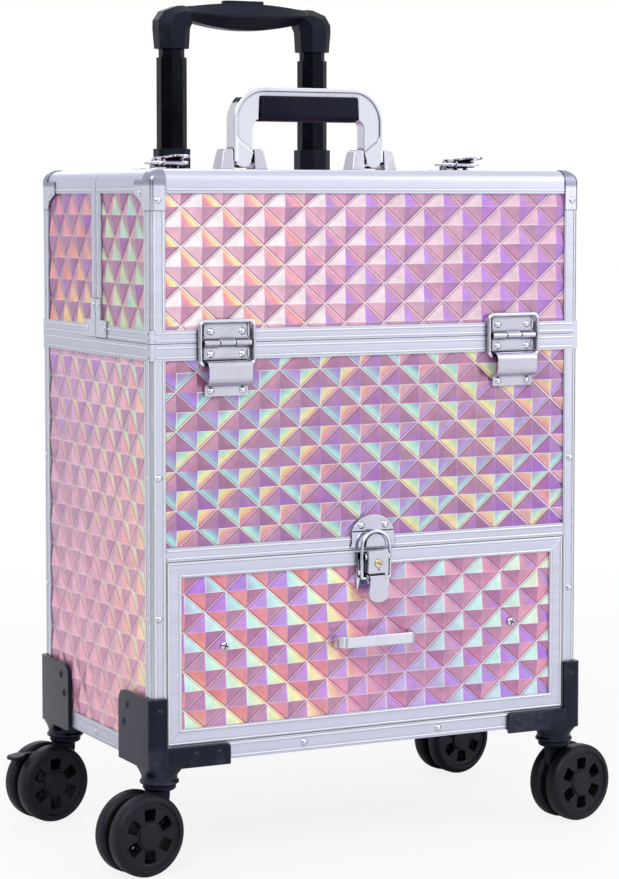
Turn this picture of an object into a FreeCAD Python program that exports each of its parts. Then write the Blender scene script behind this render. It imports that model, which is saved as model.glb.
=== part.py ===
import FreeCAD, Part
import math
import operator
import os
import Sketcher
from collections import namedtuple
from types import SimpleNamespace

Vector = FreeCAD.Vector
Rotation = FreeCAD.Rotation

# Driving dimensions in millimetres, with angles in degrees
SIZES = {
    # Case outline, from the floor up
    "case_width": 340.0,
    "case_depth": 202.0,
    "bottom_rail_height": 12.4,
    "drawer_front_height": 127.3,
    "middle_rail_height": 9.5,
    "front_panel_height": 127.8,
    "base_rim_height": 11.5,
    "lid_strip_height": 9.5,
    "lid_panel_height": 92.7,
    "lid_top_height": 16.4,
    "lid_split_from_middle": 4.0,
    # Boards and aluminium edge rails
    "board": 6.0,
    "flange_width": 11.1,
    "flange": 2.0,
    "web_width": 10.0,
    "post_corner_radius": 3.5,
    "lid_edge_radius": 8.0,
    "split_bar_width": 8.0,
    "seam_gap": 0.4,
    "running_gap": 0.05,
    "moving_gap": 0.3,
    # Lid corner fittings
    "cap_sheet": 0.8,
    "cap_height": 28.0,
    "cap_side_reach": 26.0,
    "cap_side_shoulder": 16.5,
    "cap_rivet_down": 21.0,
    "cap_side_rivet_in": 17.0,
    "elbow_lift": 0.6,
    "elbow_foot_reach": 19.5,
    "elbow_foot_height": 12.0,
    "elbow_leg_width": 8.4,
    "elbow_leg_height": 27.0,
    "elbow_rivet_inset": 4.4,
    # Rivets and screws
    "rivet_radius": 2.5,
    "rivet_height": 1.2,
    "screw_radius": 3.2,
    "screw_height": 1.4,
    "post_rivet_low": 101.0,
    "post_rivet_high": 197.5,
    "rail_rivet_from_middle": 54.0,
    # Casters and their corner brackets
    "caster_from_side": 10.5,
    "caster_from_front": 12.0,
    "caster_trail": 16.5,
    "caster_turn": 11.0,
    "wheel_radius": 28.5,
    "tyre_depth": 5.0,
    "wheel_thickness": 12.0,
    "wheel_spacing": 6.0,
    "wheel_window_inner": 9.5,
    "wheel_window_outer": 19.5,
    "wheel_window_half_angle": 17.0,
    "axle_radius": 3.0,
    "hub_radius": 7.5,
    "arm_thickness": 5.2,
    "arm_width": 9.0,
    "wheel_headroom": 1.2,
    "fork_head_radius": 11.5,
    "fork_head_height": 3.0,
    "stem_radius": 5.0,
    "socket_radius": 12.5,
    "socket_height": 11.0,
    "socket_collar_radius": 13.6,
    "socket_collar_height": 2.2,
    "bracket_wall": 3.0,
    "bracket_side_reach": 53.0,
    "bracket_height": 46.0,
    "bracket_corner_radius": 9.0,
    "bracket_leg_width": 10.4,
    "bracket_foot_reach": 58.0,
    "bracket_foot_height": 11.6,
    "bracket_foot_rivet_near": 32.0,
    "bracket_foot_rivet_far": 49.5,
    "bracket_screw_drop": 12.8,
    "bracket_screw_shift": 6.4,
    # Stay hinges on the front
    "hinge_from_side": 56.0,
    "hinge_width": 36.0,
    "hinge_sheet": 1.2,
    "hinge_axis_out": 3.4,
    "hinge_pin_radius": 1.6,
    "hinge_knuckle_radius": 3.0,
    "hinge_leaf_height": 12.0,
    "hinge_rivet_from_middle": 12.0,
    "ring_pivot_height": 15.0,
    "ring_length": 30.0,
    "ring_wire_radius": 1.3,
    "ring_side_gap": 1.0,
    "ring_bend_radius": 3.5,
    "curl_radius": 2.6,
    "curl_width": 26.0,
    "sleeve_width": 33.0,
    "sleeve_foot_height": 8.0,
    "sleeve_slack_out": 3.3,
    "sleeve_slack_down": 11.0,
    "sleeve_bend_radius": 2.4,
    # Draw latches
    "top_latch_from_side": 51.0,
    "latch_from_split": 1.5,
    "latch_sheet": 1.2,
    "keeper_width": 34.0,
    "keeper_length": 23.0,
    "keeper_corner_radius": 12.0,
    "keeper_rivet_from_middle": 9.5,
    "keeper_rivet_from_end": 7.5,
    "hook_from_split": 2.0,
    "hook_length": 8.0,
    "hook_width": 15.0,
    "hook_corner_radius": 6.0,
    "hook_overlap": 0.9,
    "bail_slack": 2.0,
    "bail_wire_radius": 1.1,
    "bail_height": 5.4,
    "bail_pivot_from_split": 20.0,
    "bail_bend_radius": 9.0,
    "bail_foot_bend_radius": 1.8,
    "bail_boss_radius": 2.6,
    "latch_plate_width": 26.0,
    "latch_plate_length": 27.0,
    "lever_pivot_from_split": 5.0,
    "lever_pivot_height": 6.0,
    "lever_pin_radius": 1.3,
    "lever_width": 16.0,
    "lever_boss_radius": 3.6,
    "lever_sheet": 3.2,
    "lever_bend_from_split": 17.0,
    "lever_tip_from_split": 37.0,
    "lever_tip_rise": 1.5,
    "lever_tip_sheet": 1.4,
    "ear_thickness": 1.4,
    "ear_radius": 2.6,
    "lock_from_split": 9.5,
    "lock_radius": 3.0,
    "lock_height": 0.6,
    # Drawer
    "drawer_gap": 0.4,
    "drawer_frame_width": 11.0,
    "drawer_box_height": 104.0,
    "drawer_box_lift": 4.5,
    "drawer_side": 6.0,
    "drawer_back_gap": 6.0,
    "drawer_bottom": 3.0,
    "runner_room": 12.7,
    "runner_height": 34.0,
    "runner_from_front": 14.0,
    "fixed_runner_thickness": 5.6,
    "runner_above_box": 26.0,
    "pull_width": 62.0,
    "pull_height": 8.0,
    "pull_above_rail": 76.0,
    "pull_reach": 13.0,
    "pull_strap": 3.0,
    "pull_bend_radius": 3.5,
    "drawer_screw_from_side": 55.0,
    "drawer_screw_above_rail": 79.0,
    # Carry handle
    "handle_foot_from_middle": 53.5,
    "handle_foot_width": 38.0,
    "handle_foot_depth": 16.0,
    "handle_foot_height": 16.0,
    "handle_foot_radius": 4.0,
    "handle_foot_sheet": 1.2,
    "handle_pivot_height": 8.6,
    "handle_pin_radius": 2.0,
    "handle_leg_width": 16.0,
    "handle_leg_end_radius": 6.4,
    "handle_depth": 14.0,
    "handle_top_height": 61.0,
    "handle_bar_height": 6.8,
    "handle_outer_radius": 25.0,
    "handle_inner_radius": 5.0,
    "grip_length": 80.0,
    "grip_height": 18.0,
    "grip_depth": 14.6,
    # Trolley
    "trolley_from_middle": 60.0,
    "trolley_inner_width": 18.2,
    "trolley_tube_chamfer": 5.3,
    "trolley_tube_wall": 1.4,
    "trolley_slide_gap": 0.2,
    "trolley_tube_start": 22.0,
    "trolley_collar_wall": 0.8,
    "trolley_top_above_lid": 18.0,
    "trolley_middle_shown": 69.5,
    "trolley_middle_length": 385.0,
    "trolley_inner_shown": 6.5,
    "trolley_inner_length": 375.0,
    "trolley_clamp_wall": 2.4,
    "trolley_clamp_height": 20.0,
    "trolley_clamp_below_seam": 34.0,
    "boot_width": 24.6,
    "boot_depth": 25.0,
    "boot_height": 24.0,
    "boot_socket_depth": 14.0,
    "crossbar_rise": 12.0,
    "crossbar_shoulder": 7.0,
    "crossbar_belly": 7.0,
    "crossbar_depth": 26.0,
    "crossbar_crown_drop": 1.5,
    "button_width": 34.0,
    "button_depth": 12.0,
    "button_proud": 2.0,
    "button_travel": 3.0,
    "button_skirt": 5.0,
    "button_corner_radius": 5.0,
    # Swing-out tray under the front lid
    "tray_side_room": 14.0,
    "tray_depth": 92.0,
    "tray_height": 28.0,
    "tray_wall": 2.0,
    "tray_from_lid_front": 9.0,
    "tray_post_below_seam": 9.1,
    "tray_pivot_above_bottom": 6.0,
    "tray_pivot_from_front": 70.0,
    "tray_arm_length": 85.0,
    "tray_arm_lean": 45.0,
    "tray_arm_spacing": 16.0,
    "tray_arm_width": 8.0,
    "tray_arm_thickness": 2.5,
    "tray_arm_gap": 1.5,
    "tray_pin_radius": 2.2,
    "tray_post_radius": 4.0,
}

doc = FreeCAD.newDocument("TrainCase")
sheet = doc.addObject("Spreadsheet::Sheet", "Sizes")
for row, (alias, number) in enumerate(SIZES.items(), start=1):
    sheet.set(f"A{row}", alias.replace("_", " "))
    sheet.set(f"B{row}", str(number))
    sheet.setAlias(f"B{row}", alias)
doc.recompute()

OPERATIONS = {"+": operator.add, "-": operator.sub, "*": operator.mul, "/": operator.truediv}
BOTH = (-1, 1)
AXES = "xyz"
MATCH = 1e-4
OVERCUT = 1.0
Circle = namedtuple("Circle", "centre radius")


class Size:
    """A length with its number and the formula that ties it to the sheet."""

    def __init__(self, formula, number):
        self.formula = formula
        self.number = number

    def __float__(self):
        return self.number

    def __add__(self, other):
        return joined(self, "+", other)

    def __radd__(self, other):
        return joined(other, "+", self)

    def __sub__(self, other):
        return joined(self, "-", other)

    def __rsub__(self, other):
        return joined(other, "-", self)

    def __mul__(self, other):
        return joined(self, "*", other)

    def __rmul__(self, other):
        return joined(other, "*", self)

    def __truediv__(self, other):
        return joined(self, "/", other)

    def __neg__(self):
        return joined(-1.0, "*", self)


def size_of(value):
    """The value as a Size, also where it is a plain number."""
    if isinstance(value, Size):
        return value
    return Size(f"({float(value):.9f})", float(value))


def joined(left, sign, right):
    """Two values joined by an arithmetic sign, as one Size."""
    left, right = size_of(left), size_of(right)
    number = OPERATIONS[sign](left.number, right.number)
    return Size(f"({left.formula} {sign} {right.formula})", number)


d = SimpleNamespace(**{name: Size(f"Sizes.{name}", number) for name, number in SIZES.items()})


# Building blocks


def bind(item, path, value):
    """Tie one property of an object to the sheet."""
    item.setExpression(path, size_of(value).formula)


def block(x_ends, y_ends, z_ends):
    """Box between two ends on each axis, given in either order."""
    item = doc.addObject("Part::Box", "Block")
    sides = ("Length", "Width", "Height")
    for axis, side, ends in zip(AXES, sides, (x_ends, y_ends, z_ends)):
        low, high = sorted(ends, key=float)
        bind(item, side, high - low)
        bind(item, f"Placement.Base.{axis}", low)
    return item


TURNED_TO = {
    "x": Rotation(Vector(0, 1, 0), 90),
    "y": Rotation(Vector(1, 0, 0), -90),
    "z": Rotation(),
}


def rod(axis, ends, centre, radius):
    """Round bar along one axis; centre holds the other two coordinates in x, y, z order."""
    item = doc.addObject("Part::Cylinder", "Rod")
    item.Placement = FreeCAD.Placement(Vector(), TURNED_TO[axis])
    low, high = sorted(ends, key=float)
    bind(item, "Radius", radius)
    bind(item, "Height", high - low)
    place = list(centre)
    place.insert(AXES.index(axis), low)
    for name, value in zip(AXES, place):
        bind(item, f"Placement.Base.{name}", value)
    return item


FACING = {
    ("x", 1): Rotation(Vector(0, 1, 0), 90),
    ("x", -1): Rotation(Vector(0, 1, 0), -90),
    ("y", 1): Rotation(Vector(1, 0, 0), -90),
    ("y", -1): Rotation(Vector(1, 0, 0), 90),
    ("z", 1): Rotation(),
}


def dome(axis, way, seat, radius, height):
    """Rivet or screw head: a spherical cap on the point seat, facing along one axis."""
    ball_radius = (radius * radius + height * height) / (height * 2)
    drop = ball_radius - height
    item = doc.addObject("Part::Sphere", "Dome")
    item.Placement = FreeCAD.Placement(Vector(), FACING[axis, way])
    bind(item, "Radius", ball_radius)
    item.setExpression("Angle1", f"asin({(drop / ball_radius).formula})")
    for name, value in zip(AXES, seat):
        bind(item, f"Placement.Base.{name}", value - drop * way if name == axis else value)
    return item


def joined_solid(*items):
    """One solid made of several."""
    fuse = doc.addObject("Part::MultiFuse", "Fuse")
    fuse.Shapes = list(items)
    fuse.Refine = True
    return fuse


def cut(base, *tools):
    """The base with each tool's volume taken away."""
    for tool in tools:
        result = doc.addObject("Part::Cut", "Cut")
        result.Base = base
        result.Tool = tool
        base = result
    return base


PAD_PLANES = {"x": ("YZ_Plane", 1), "y": ("XZ_Plane", -1), "z": ("XY_Plane", 1)}


def draw_loop(sketch, loop):
    """Add a closed outline, a circle or straight lines through points, tied to the sheet."""
    first = sketch.GeometryCount
    if isinstance(loop, Circle):
        middle = Vector(float(loop.centre[0]), float(loop.centre[1]), 0)
        sketch.addGeometry(Part.Circle(middle, Vector(0, 0, 1), float(loop.radius)), False)
        radius = sketch.addConstraint(Sketcher.Constraint("Radius", first, float(loop.radius)))
        bind(sketch, f"Constraints[{radius}]", loop.radius)
        points, vertex = [loop.centre], 3
    else:
        corners = [Vector(float(a), float(b), 0) for a, b in loop]
        count = len(corners)
        lines = [Part.LineSegment(corners[k], corners[(k + 1) % count]) for k in range(count)]
        sketch.addGeometry(lines, False)
        meets = [
            Sketcher.Constraint("Coincident", first + k, 2, first + (k + 1) % count, 1)
            for k in range(count)
        ]
        sketch.addConstraint(meets)
        points, vertex = loop, 1
    for step, point in enumerate(points):
        for kind, value in zip(("DistanceX", "DistanceY"), point):
            rule = Sketcher.Constraint(kind, -1, 1, first + step, vertex, float(value))
            number = sketch.addConstraint(rule)
            bind(sketch, f"Constraints[{number}]", value)


def edges_at(shape, axis, corners):
    """Names of the straight edges along one axis that stand on the given corners."""
    others = [k for k in range(3) if AXES[k] != axis]
    names = []
    for number, edge in enumerate(shape.Edges, start=1):
        ends = [vertex.Point for vertex in edge.Vertexes]
        for corner in corners:
            off = [abs(end[k] - float(value)) for end in ends for k, value in zip(others, corner)]
            if len(ends) == 2 and max(off) < MATCH:
                names.append(f"Edge{number}")
    return names


def slab(axis, loops, ends, rounds=()):
    """Body padded along one axis from closed outlines, the outer one first.

    Points hold the other two coordinates in x, y, z order. rounds lists pairs of
    corner numbers of the outer outline and the radius that rounds them off.
    """
    role, way = PAD_PLANES[axis]
    body = doc.addObject("PartDesign::Body", "Body")
    plane = next(item for item in body.Origin.OriginFeatures if item.Role == role)
    sketch = body.newObject("Sketcher::SketchObject", "Outline")
    sketch.AttachmentSupport = [(plane, "")]
    sketch.MapMode = "FlatFace"
    low, high = sorted(ends, key=float)
    bind(sketch, "AttachmentOffset.Base.z", low if way > 0 else -size_of(high))
    for loop in loops:
        draw_loop(sketch, loop)
    feature = body.newObject("PartDesign::Pad", "Pad")
    feature.Profile = sketch
    bind(feature, "Length", high - low)
    for numbers, radius in rounds:
        doc.recompute()
        fillet = body.newObject("PartDesign::Fillet", "Round")
        corners = [loops[0][number] for number in numbers]
        fillet.Base = (feature, edges_at(feature.Shape, axis, corners))
        bind(fillet, "Radius", radius)
        feature = fillet
    return body


def rounded_block(x_ends, y_ends, z_ends, edges):
    """Box with some edges rounded off.

    edges lists, for each edge, its axis, the other two coordinates and the radius.
    """
    box = block(x_ends, y_ends, z_ends)
    doc.recompute()
    rounds = []
    for axis, corner, radius in edges:
        for name in edges_at(box.Shape, axis, [corner]):
            rounds.append((int(name.removeprefix("Edge")), float(radius), float(radius)))
    item = doc.addObject("Part::Fillet", "Rounded")
    item.Base = box
    item.Edges = rounds
    return item


def octagon(middle, x_width, y_width, chamfer):
    """Outline of a rectangle with its corners cut off, seen along z."""
    x, y = middle
    half_x, half_y = x_width / 2, y_width / 2
    return [
        (x - half_x, y - half_y + chamfer),
        (x - half_x + chamfer, y - half_y),
        (x + half_x - chamfer, y - half_y),
        (x + half_x, y - half_y + chamfer),
        (x + half_x, y + half_y - chamfer),
        (x + half_x - chamfer, y + half_y),
        (x - half_x + chamfer, y + half_y),
        (x - half_x, y + half_y - chamfer),
    ]


def bent_wire(corners, bends, radius, closed=False):
    """Round wire through the corners, straight runs joined by tangent arcs of the given bends."""
    points = [Vector(*(float(value) for value in corner)) for corner in corners]
    if closed:
        start = (points[0] + points[-1]) * 0.5
        points = [start] + points + [start]
    edges = []
    here = points[0]
    for before, corner, after, bend in zip(points, points[1:], points[2:], bends):
        to_back = (before - corner).normalize()
        to_front = (after - corner).normalize()
        turn = math.pi - to_back.getAngle(to_front)
        reach = float(bend) * math.tan(turn / 2)
        enter = corner + to_back * reach
        leave = corner + to_front * reach
        inward = (to_back + to_front).normalize()
        depth = float(bend) * (1 / math.cos(turn / 2) - 1)
        edges.append(Part.LineSegment(here, enter).toShape())
        edges.append(Part.Arc(enter, corner + inward * depth, leave).toShape())
        here = leave
    edges.append(Part.LineSegment(here, points[-1]).toShape())
    along = points[1] - points[0]
    ring = Part.Wire(Part.makeCircle(float(radius), points[0], along))
    item = doc.addObject("Part::Feature", "Wire")
    item.Shape = Part.Wire(edges).makePipeShell([ring], True, True)
    return item


NODES = []


def piece(label, *solids):
    """Name a sub-part, made of one solid or of a group of separate solids."""
    if len(solids) == 1:
        item = solids[0]
    else:
        item = doc.addObject("Part::Compound", "Group")
        item.Links = list(solids)
    item.Label = label
    NODES.append(item)
    return item


def moved(item, x, y, z, turn):
    """Turn a sub-part and then move it to its place."""
    item.Placement = FreeCAD.Placement(Vector(), turn)
    for name, value in zip(AXES, (x, y, z)):
        bind(item, f"Placement.Base.{name}", value)
    return item


# Levels and planes of the case

HALF_WIDTH = d.case_width / 2
FRONT = -d.case_depth / 2
REAR = d.case_depth / 2
FORK_BOTTOM = d.wheel_radius * 2 + d.wheel_headroom
FORK_TOP = FORK_BOTTOM + d.fork_head_height
SOCKET_BOTTOM = FORK_TOP + d.moving_gap
BRACKET_BOTTOM = SOCKET_BOTTOM + d.socket_height
RAIL_BOTTOM = BRACKET_BOTTOM + d.bracket_wall
DRAWER_BOTTOM = RAIL_BOTTOM + d.bottom_rail_height
DRAWER_TOP = DRAWER_BOTTOM + d.drawer_front_height
PANEL_BOTTOM = DRAWER_TOP + d.middle_rail_height
RIM_BOTTOM = PANEL_BOTTOM + d.front_panel_height
SEAM = RIM_BOTTOM + d.base_rim_height
LID_PANEL_BOTTOM = SEAM + d.lid_strip_height
LID_PANEL_TOP = LID_PANEL_BOTTOM + d.lid_panel_height
LID_TOP = LID_PANEL_TOP + d.lid_top_height
SPLIT = -d.lid_split_from_middle
BOARD_OUT = d.flange
BOARD_IN = d.flange + d.board
FLOOR_BOARD_TOP = RAIL_BOTTOM + d.flange + d.board
RIM_WEB_BOTTOM = SEAM - d.flange
SIDE_INSIDE = HALF_WIDTH - BOARD_IN
POST_INSIDE = HALF_WIDTH - d.flange_width

# Base frame


def edge_rails(low, high, web_low, web_high):
    """Four angle rails round the case: an upright flange outside and a flat web."""
    rails = []
    for way in BOTH:
        wall = way * (REAR - d.flange)
        web = way * (REAR - d.web_width)
        flange = block((-HALF_WIDTH, HALF_WIDTH), (wall, way * REAR), (low, high))
        inner = HALF_WIDTH - d.web_width
        shelf = block((-inner, inner), (web, way * REAR), (web_low, web_high))
        rails.append(joined_solid(flange, shelf))
    for way in BOTH:
        wall = way * (HALF_WIDTH - d.flange)
        web = way * (HALF_WIDTH - d.web_width)
        flange = block((wall, way * HALF_WIDTH), (FRONT + d.flange, REAR - d.flange), (low, high))
        inner = REAR - d.web_width
        shelf = block((web, way * HALF_WIDTH), (-inner, inner), (web_low, web_high))
        rails.append(joined_solid(flange, shelf))
    return rails


def corner_post(side, way, low, high):
    """Angle post round one vertical corner of the case."""
    x, y = side * HALF_WIDTH, way * REAR
    outline = [
        (x, y),
        (x - side * d.flange_width, y),
        (x - side * d.flange_width, y - way * d.flange),
        (x - side * d.flange, y - way * d.flange),
        (x - side * d.flange, y - way * d.flange_width),
        (x, y - way * d.flange_width),
    ]
    return slab("z", [outline], (low, high), [([0], d.post_corner_radius)])


piece("bottom_rails", *edge_rails(RAIL_BOTTOM, DRAWER_BOTTOM, RAIL_BOTTOM, RAIL_BOTTOM + d.flange))
piece("base_rim", *edge_rails(RIM_BOTTOM, SEAM, RIM_WEB_BOTTOM, SEAM))
piece("corner_posts", *[corner_post(s, w, DRAWER_BOTTOM, RIM_BOTTOM) for s in BOTH for w in BOTH])
piece(
    "middle_rail",
    joined_solid(
        block((-POST_INSIDE, POST_INSIDE), (FRONT, FRONT + d.flange), (DRAWER_TOP, PANEL_BOTTOM)),
        block(
            (-POST_INSIDE, POST_INSIDE),
            (FRONT, FRONT + d.web_width),
            (DRAWER_TOP, DRAWER_TOP + d.flange),
        ),
    ),
)

# Base boards

BOARD_HALF_WIDTH = HALF_WIDTH - BOARD_OUT
SHELF_BOTTOM = DRAWER_TOP + d.flange
FULL_BOARD = (-BOARD_HALF_WIDTH, BOARD_HALF_WIDTH)
FRONT_BOARD = (FRONT + BOARD_OUT, FRONT + BOARD_IN)
REAR_BOARD = (REAR - BOARD_IN, REAR - BOARD_OUT)
WALL_HEIGHT = (FLOOR_BOARD_TOP, RIM_WEB_BOTTOM)
INSIDE_DEPTH = (FRONT + BOARD_IN, REAR - BOARD_IN)

piece(
    "bottom_board",
    block(FULL_BOARD, (FRONT + BOARD_OUT, REAR - BOARD_OUT), (RAIL_BOTTOM + d.flange, FLOOR_BOARD_TOP)),
)
piece(
    "base_panels",
    block(FULL_BOARD, FRONT_BOARD, (SHELF_BOTTOM, RIM_WEB_BOTTOM)),
    block(FULL_BOARD, REAR_BOARD, WALL_HEIGHT),
    *[block((s * SIDE_INSIDE, s * BOARD_HALF_WIDTH), INSIDE_DEPTH, WALL_HEIGHT) for s in BOTH],
)
piece(
    "drawer_shelf",
    block((-SIDE_INSIDE, SIDE_INSIDE), INSIDE_DEPTH, (SHELF_BOTTOM, SHELF_BOTTOM + d.board)),
)

# Lid halves


def lid_frame(way, edge, low):
    """Edge rails of one lid half; way is -1 in front, edge its split side, low its underside."""
    outer = way * REAR
    wall = outer - way * d.flange
    web = outer - way * d.web_width
    inner = HALF_WIDTH - d.web_width
    strip = joined_solid(
        block((-HALF_WIDTH, HALF_WIDTH), (outer, wall), (low, LID_PANEL_BOTTOM)),
        block((-inner, inner), (outer, web), (low, low + d.flange)),
    )
    solids = [strip]
    for side in BOTH:
        face = side * HALF_WIDTH
        side_wall = face - side * d.flange
        side_web = face - side * d.web_width
        solids.append(
            joined_solid(
                block((face, side_wall), (wall, edge), (low, LID_PANEL_BOTTOM)),
                block((face, side_web), (web, edge), (low, low + d.flange)),
            )
        )
        solids.append(corner_post(side, way, LID_PANEL_BOTTOM, LID_PANEL_TOP))
        bar = edge + way * d.split_bar_width
        solids.append(block((face, side_wall), (bar, edge), (LID_PANEL_BOTTOM, LID_PANEL_TOP)))
    rounds = [("x", (outer, LID_TOP), d.lid_edge_radius)]
    for side in BOTH:
        rounds.append(("y", (side * HALF_WIDTH, LID_TOP), d.lid_edge_radius))
        rounds.append(("z", (side * HALF_WIDTH, outer), d.post_corner_radius))
    top = rounded_block((-HALF_WIDTH, HALF_WIDTH), (outer, edge), (LID_PANEL_TOP, LID_TOP), rounds)
    hollow = block(
        (-inner, inner),
        (web, edge - way * d.web_width),
        (LID_PANEL_TOP - OVERCUT, LID_TOP + OVERCUT),
    )
    solids.append(cut(top, hollow))
    cover = (LID_TOP - d.flange, LID_TOP)
    solids.append(block((-inner, inner), (edge + way * d.split_bar_width, edge), cover))
    return solids


def lid_boards(way, edge, low):
    """Front or rear board, two side boards and top board of one lid half."""
    outer = way * REAR
    height = (low + d.flange, LID_PANEL_TOP)
    board = (outer - way * BOARD_OUT, outer - way * BOARD_IN)
    inner = HALF_WIDTH - d.web_width
    boards = [block(FULL_BOARD, board, height)]
    for side in BOTH:
        boards.append(block((side * SIDE_INSIDE, side * BOARD_HALF_WIDTH), (board[1], edge), height))
    top = (LID_TOP - d.flange - d.board, LID_TOP - d.flange)
    boards.append(block((-inner, inner), (outer - way * d.web_width, edge), top))
    return boards


def corner_cap(side, way):
    """Pressed cap over one top corner of the lid, with a plate that sweeps along the side."""
    outer = way * REAR
    back = (side * POST_INSIDE, outer - way * d.flange_width, LID_TOP - d.cap_height)
    shells = []
    for sheet in (d.cap_sheet, 0.0):
        x, y, z = side * (HALF_WIDTH + sheet), outer + way * sheet, LID_TOP + sheet
        rounds = [
            ("x", (y, z), d.lid_edge_radius + sheet),
            ("y", (x, z), d.lid_edge_radius + sheet),
            ("z", (x, y), d.post_corner_radius + sheet),
        ]
        shells.append(rounded_block((x, back[0]), (y, back[1]), (z, back[2]), rounds))
    reach, narrow = d.cap_side_reach, d.flange_width
    top, shoulder, foot = d.lid_edge_radius, d.cap_side_shoulder, d.cap_height
    sweep = [
        (narrow / 2, top),
        (reach, top),
        (reach, shoulder),
        ((reach * 2 + narrow) / 3 - d.cap_sheet, shoulder + (foot - shoulder) / 4),
        ((reach + narrow * 2) / 3 - d.cap_sheet * 2, shoulder + (foot - shoulder) / 2),
        (narrow, foot),
        (narrow / 2, foot),
    ]
    outline = [(outer - way * along, LID_TOP - down) for along, down in sweep]
    face = side * HALF_WIDTH
    return joined_solid(cut(*shells), slab("x", [outline], (face, face + side * d.cap_sheet)))


def split_elbow(side, way, edge):
    """Angled plate that ties the split bar of one lid half to its bottom strip."""
    face = side * HALF_WIDTH
    sheet = (face, face + side * d.cap_sheet)
    leg = (edge, edge + way * d.elbow_leg_width)
    foot = (edge, edge + way * d.elbow_foot_reach)
    return joined_solid(
        block(sheet, leg, (ELBOW_BOTTOM, ELBOW_BOTTOM + d.elbow_leg_height)),
        block(sheet, foot, (ELBOW_BOTTOM, ELBOW_BOTTOM + d.elbow_foot_height)),
    )


def lid_corner_fittings(way, edge):
    """Caps over the two top corners of one lid half, and elbows at the foot of its split."""
    caps = [corner_cap(side, way) for side in BOTH]
    return caps + [split_elbow(side, way, edge) for side in BOTH]


FRONT_EDGE = SPLIT - d.moving_gap
REAR_EDGE = SPLIT + d.moving_gap
FRONT_LID_BOTTOM = SEAM + d.seam_gap
ELBOW_BOTTOM = FRONT_LID_BOTTOM + d.elbow_lift

piece("front_lid_frame", *lid_frame(-1, FRONT_EDGE, FRONT_LID_BOTTOM))
piece("front_lid_panels", *lid_boards(-1, FRONT_EDGE, FRONT_LID_BOTTOM))
piece("front_lid_corner_fittings", *lid_corner_fittings(-1, FRONT_EDGE))
piece("rear_lid_frame", *lid_frame(1, REAR_EDGE, SEAM))
piece("rear_lid_panels", *lid_boards(1, REAR_EDGE, SEAM))
piece("rear_lid_corner_fittings", *lid_corner_fittings(1, REAR_EDGE))

# Casters and their corner brackets

CASTER_X = HALF_WIDTH - d.caster_from_side
CASTER_Y = REAR - d.caster_from_front


def corner_bracket(side, way):
    """Black bracket round one lower corner, with the caster's socket under it."""
    outside = side * (HALF_WIDTH + d.bracket_wall)
    face = way * (REAR + d.bracket_wall)
    corner = way * (REAR - d.bracket_side_reach)
    top = RAIL_BOTTOM + d.bracket_height
    cheek_outline = [(face, BRACKET_BOTTOM), (corner, BRACKET_BOTTOM), (corner, top), (face, top)]
    cheek = slab(
        "x", [cheek_outline], (side * HALF_WIDTH, outside), [([2], d.bracket_corner_radius)]
    )
    leg = side * (HALF_WIDTH - d.bracket_leg_width)
    foot = side * (HALF_WIDTH - d.bracket_foot_reach)
    foot_top = RAIL_BOTTOM + d.bracket_foot_height
    inner = side * (HALF_WIDTH - d.bracket_side_reach)
    socket = (side * CASTER_X, way * CASTER_Y)
    collar_top = SOCKET_BOTTOM + d.socket_collar_height
    body = joined_solid(
        cheek,
        block((leg, outside), (way * REAR, face), (BRACKET_BOTTOM, top)),
        block((foot, outside), (way * REAR, face), (BRACKET_BOTTOM, foot_top)),
        block((inner, outside), (corner, face), (BRACKET_BOTTOM, RAIL_BOTTOM)),
        rod("z", (SOCKET_BOTTOM, RAIL_BOTTOM), socket, d.socket_radius),
        rod("z", (SOCKET_BOTTOM, collar_top), socket, d.socket_collar_radius),
    )
    bore = d.stem_radius + d.running_gap
    hole_ends = (SOCKET_BOTTOM - OVERCUT, RAIL_BOTTOM + OVERCUT)
    return cut(body, rod("z", hole_ends, socket, bore))


def caster_fork(label, side, way):
    """Swivel stem, head and the arm that runs down between the twin wheels."""
    half_arm = d.arm_thickness / 2
    shin = [
        (-d.arm_width / 2, FORK_TOP),
        (-d.arm_width / 2, FORK_BOTTOM - d.arm_width),
        (d.caster_trail - d.hub_radius, d.wheel_radius),
        (d.caster_trail, d.wheel_radius - d.hub_radius),
        (d.caster_trail + d.hub_radius, d.wheel_radius),
        (d.arm_width, FORK_TOP),
    ]
    body = joined_solid(
        rod("z", (FORK_BOTTOM, FORK_TOP), (0.0, 0.0), d.fork_head_radius),
        rod("z", (FORK_BOTTOM, RAIL_BOTTOM - d.moving_gap), (0.0, 0.0), d.stem_radius),
        slab("y", [shin], (-half_arm, half_arm)),
        rod("y", (-half_arm, half_arm), (d.caster_trail, d.wheel_radius), d.hub_radius),
    )
    bore = d.axle_radius + d.running_gap
    reach = d.arm_thickness
    hole = rod("y", (-reach, reach), (d.caster_trail, d.wheel_radius), bore)
    return piece(label, moved(cut(body, hole), side * CASTER_X, way * CASTER_Y, 0.0, heading(side)))


def heading(side):
    """Direction in which a caster trails, outward with a slight turn."""
    return Rotation(Vector(0, 0, 1), float(d.caster_turn) + (0 if side > 0 else 180))


WINDOWS = 6


def wheel_window(centre, number):
    """Outline of one opening between two spokes."""
    middle = 360 / WINDOWS * number
    half = float(d.wheel_window_half_angle)
    inner, outer = d.wheel_window_inner, d.wheel_window_outer
    corners = []
    for radius, lean in ((inner, -half), (inner, half), (outer, half), (outer, -half)):
        turn = math.radians(middle + lean)
        corners.append((centre[0] + radius * math.sin(turn), centre[1] + radius * math.cos(turn)))
    return corners


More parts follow.
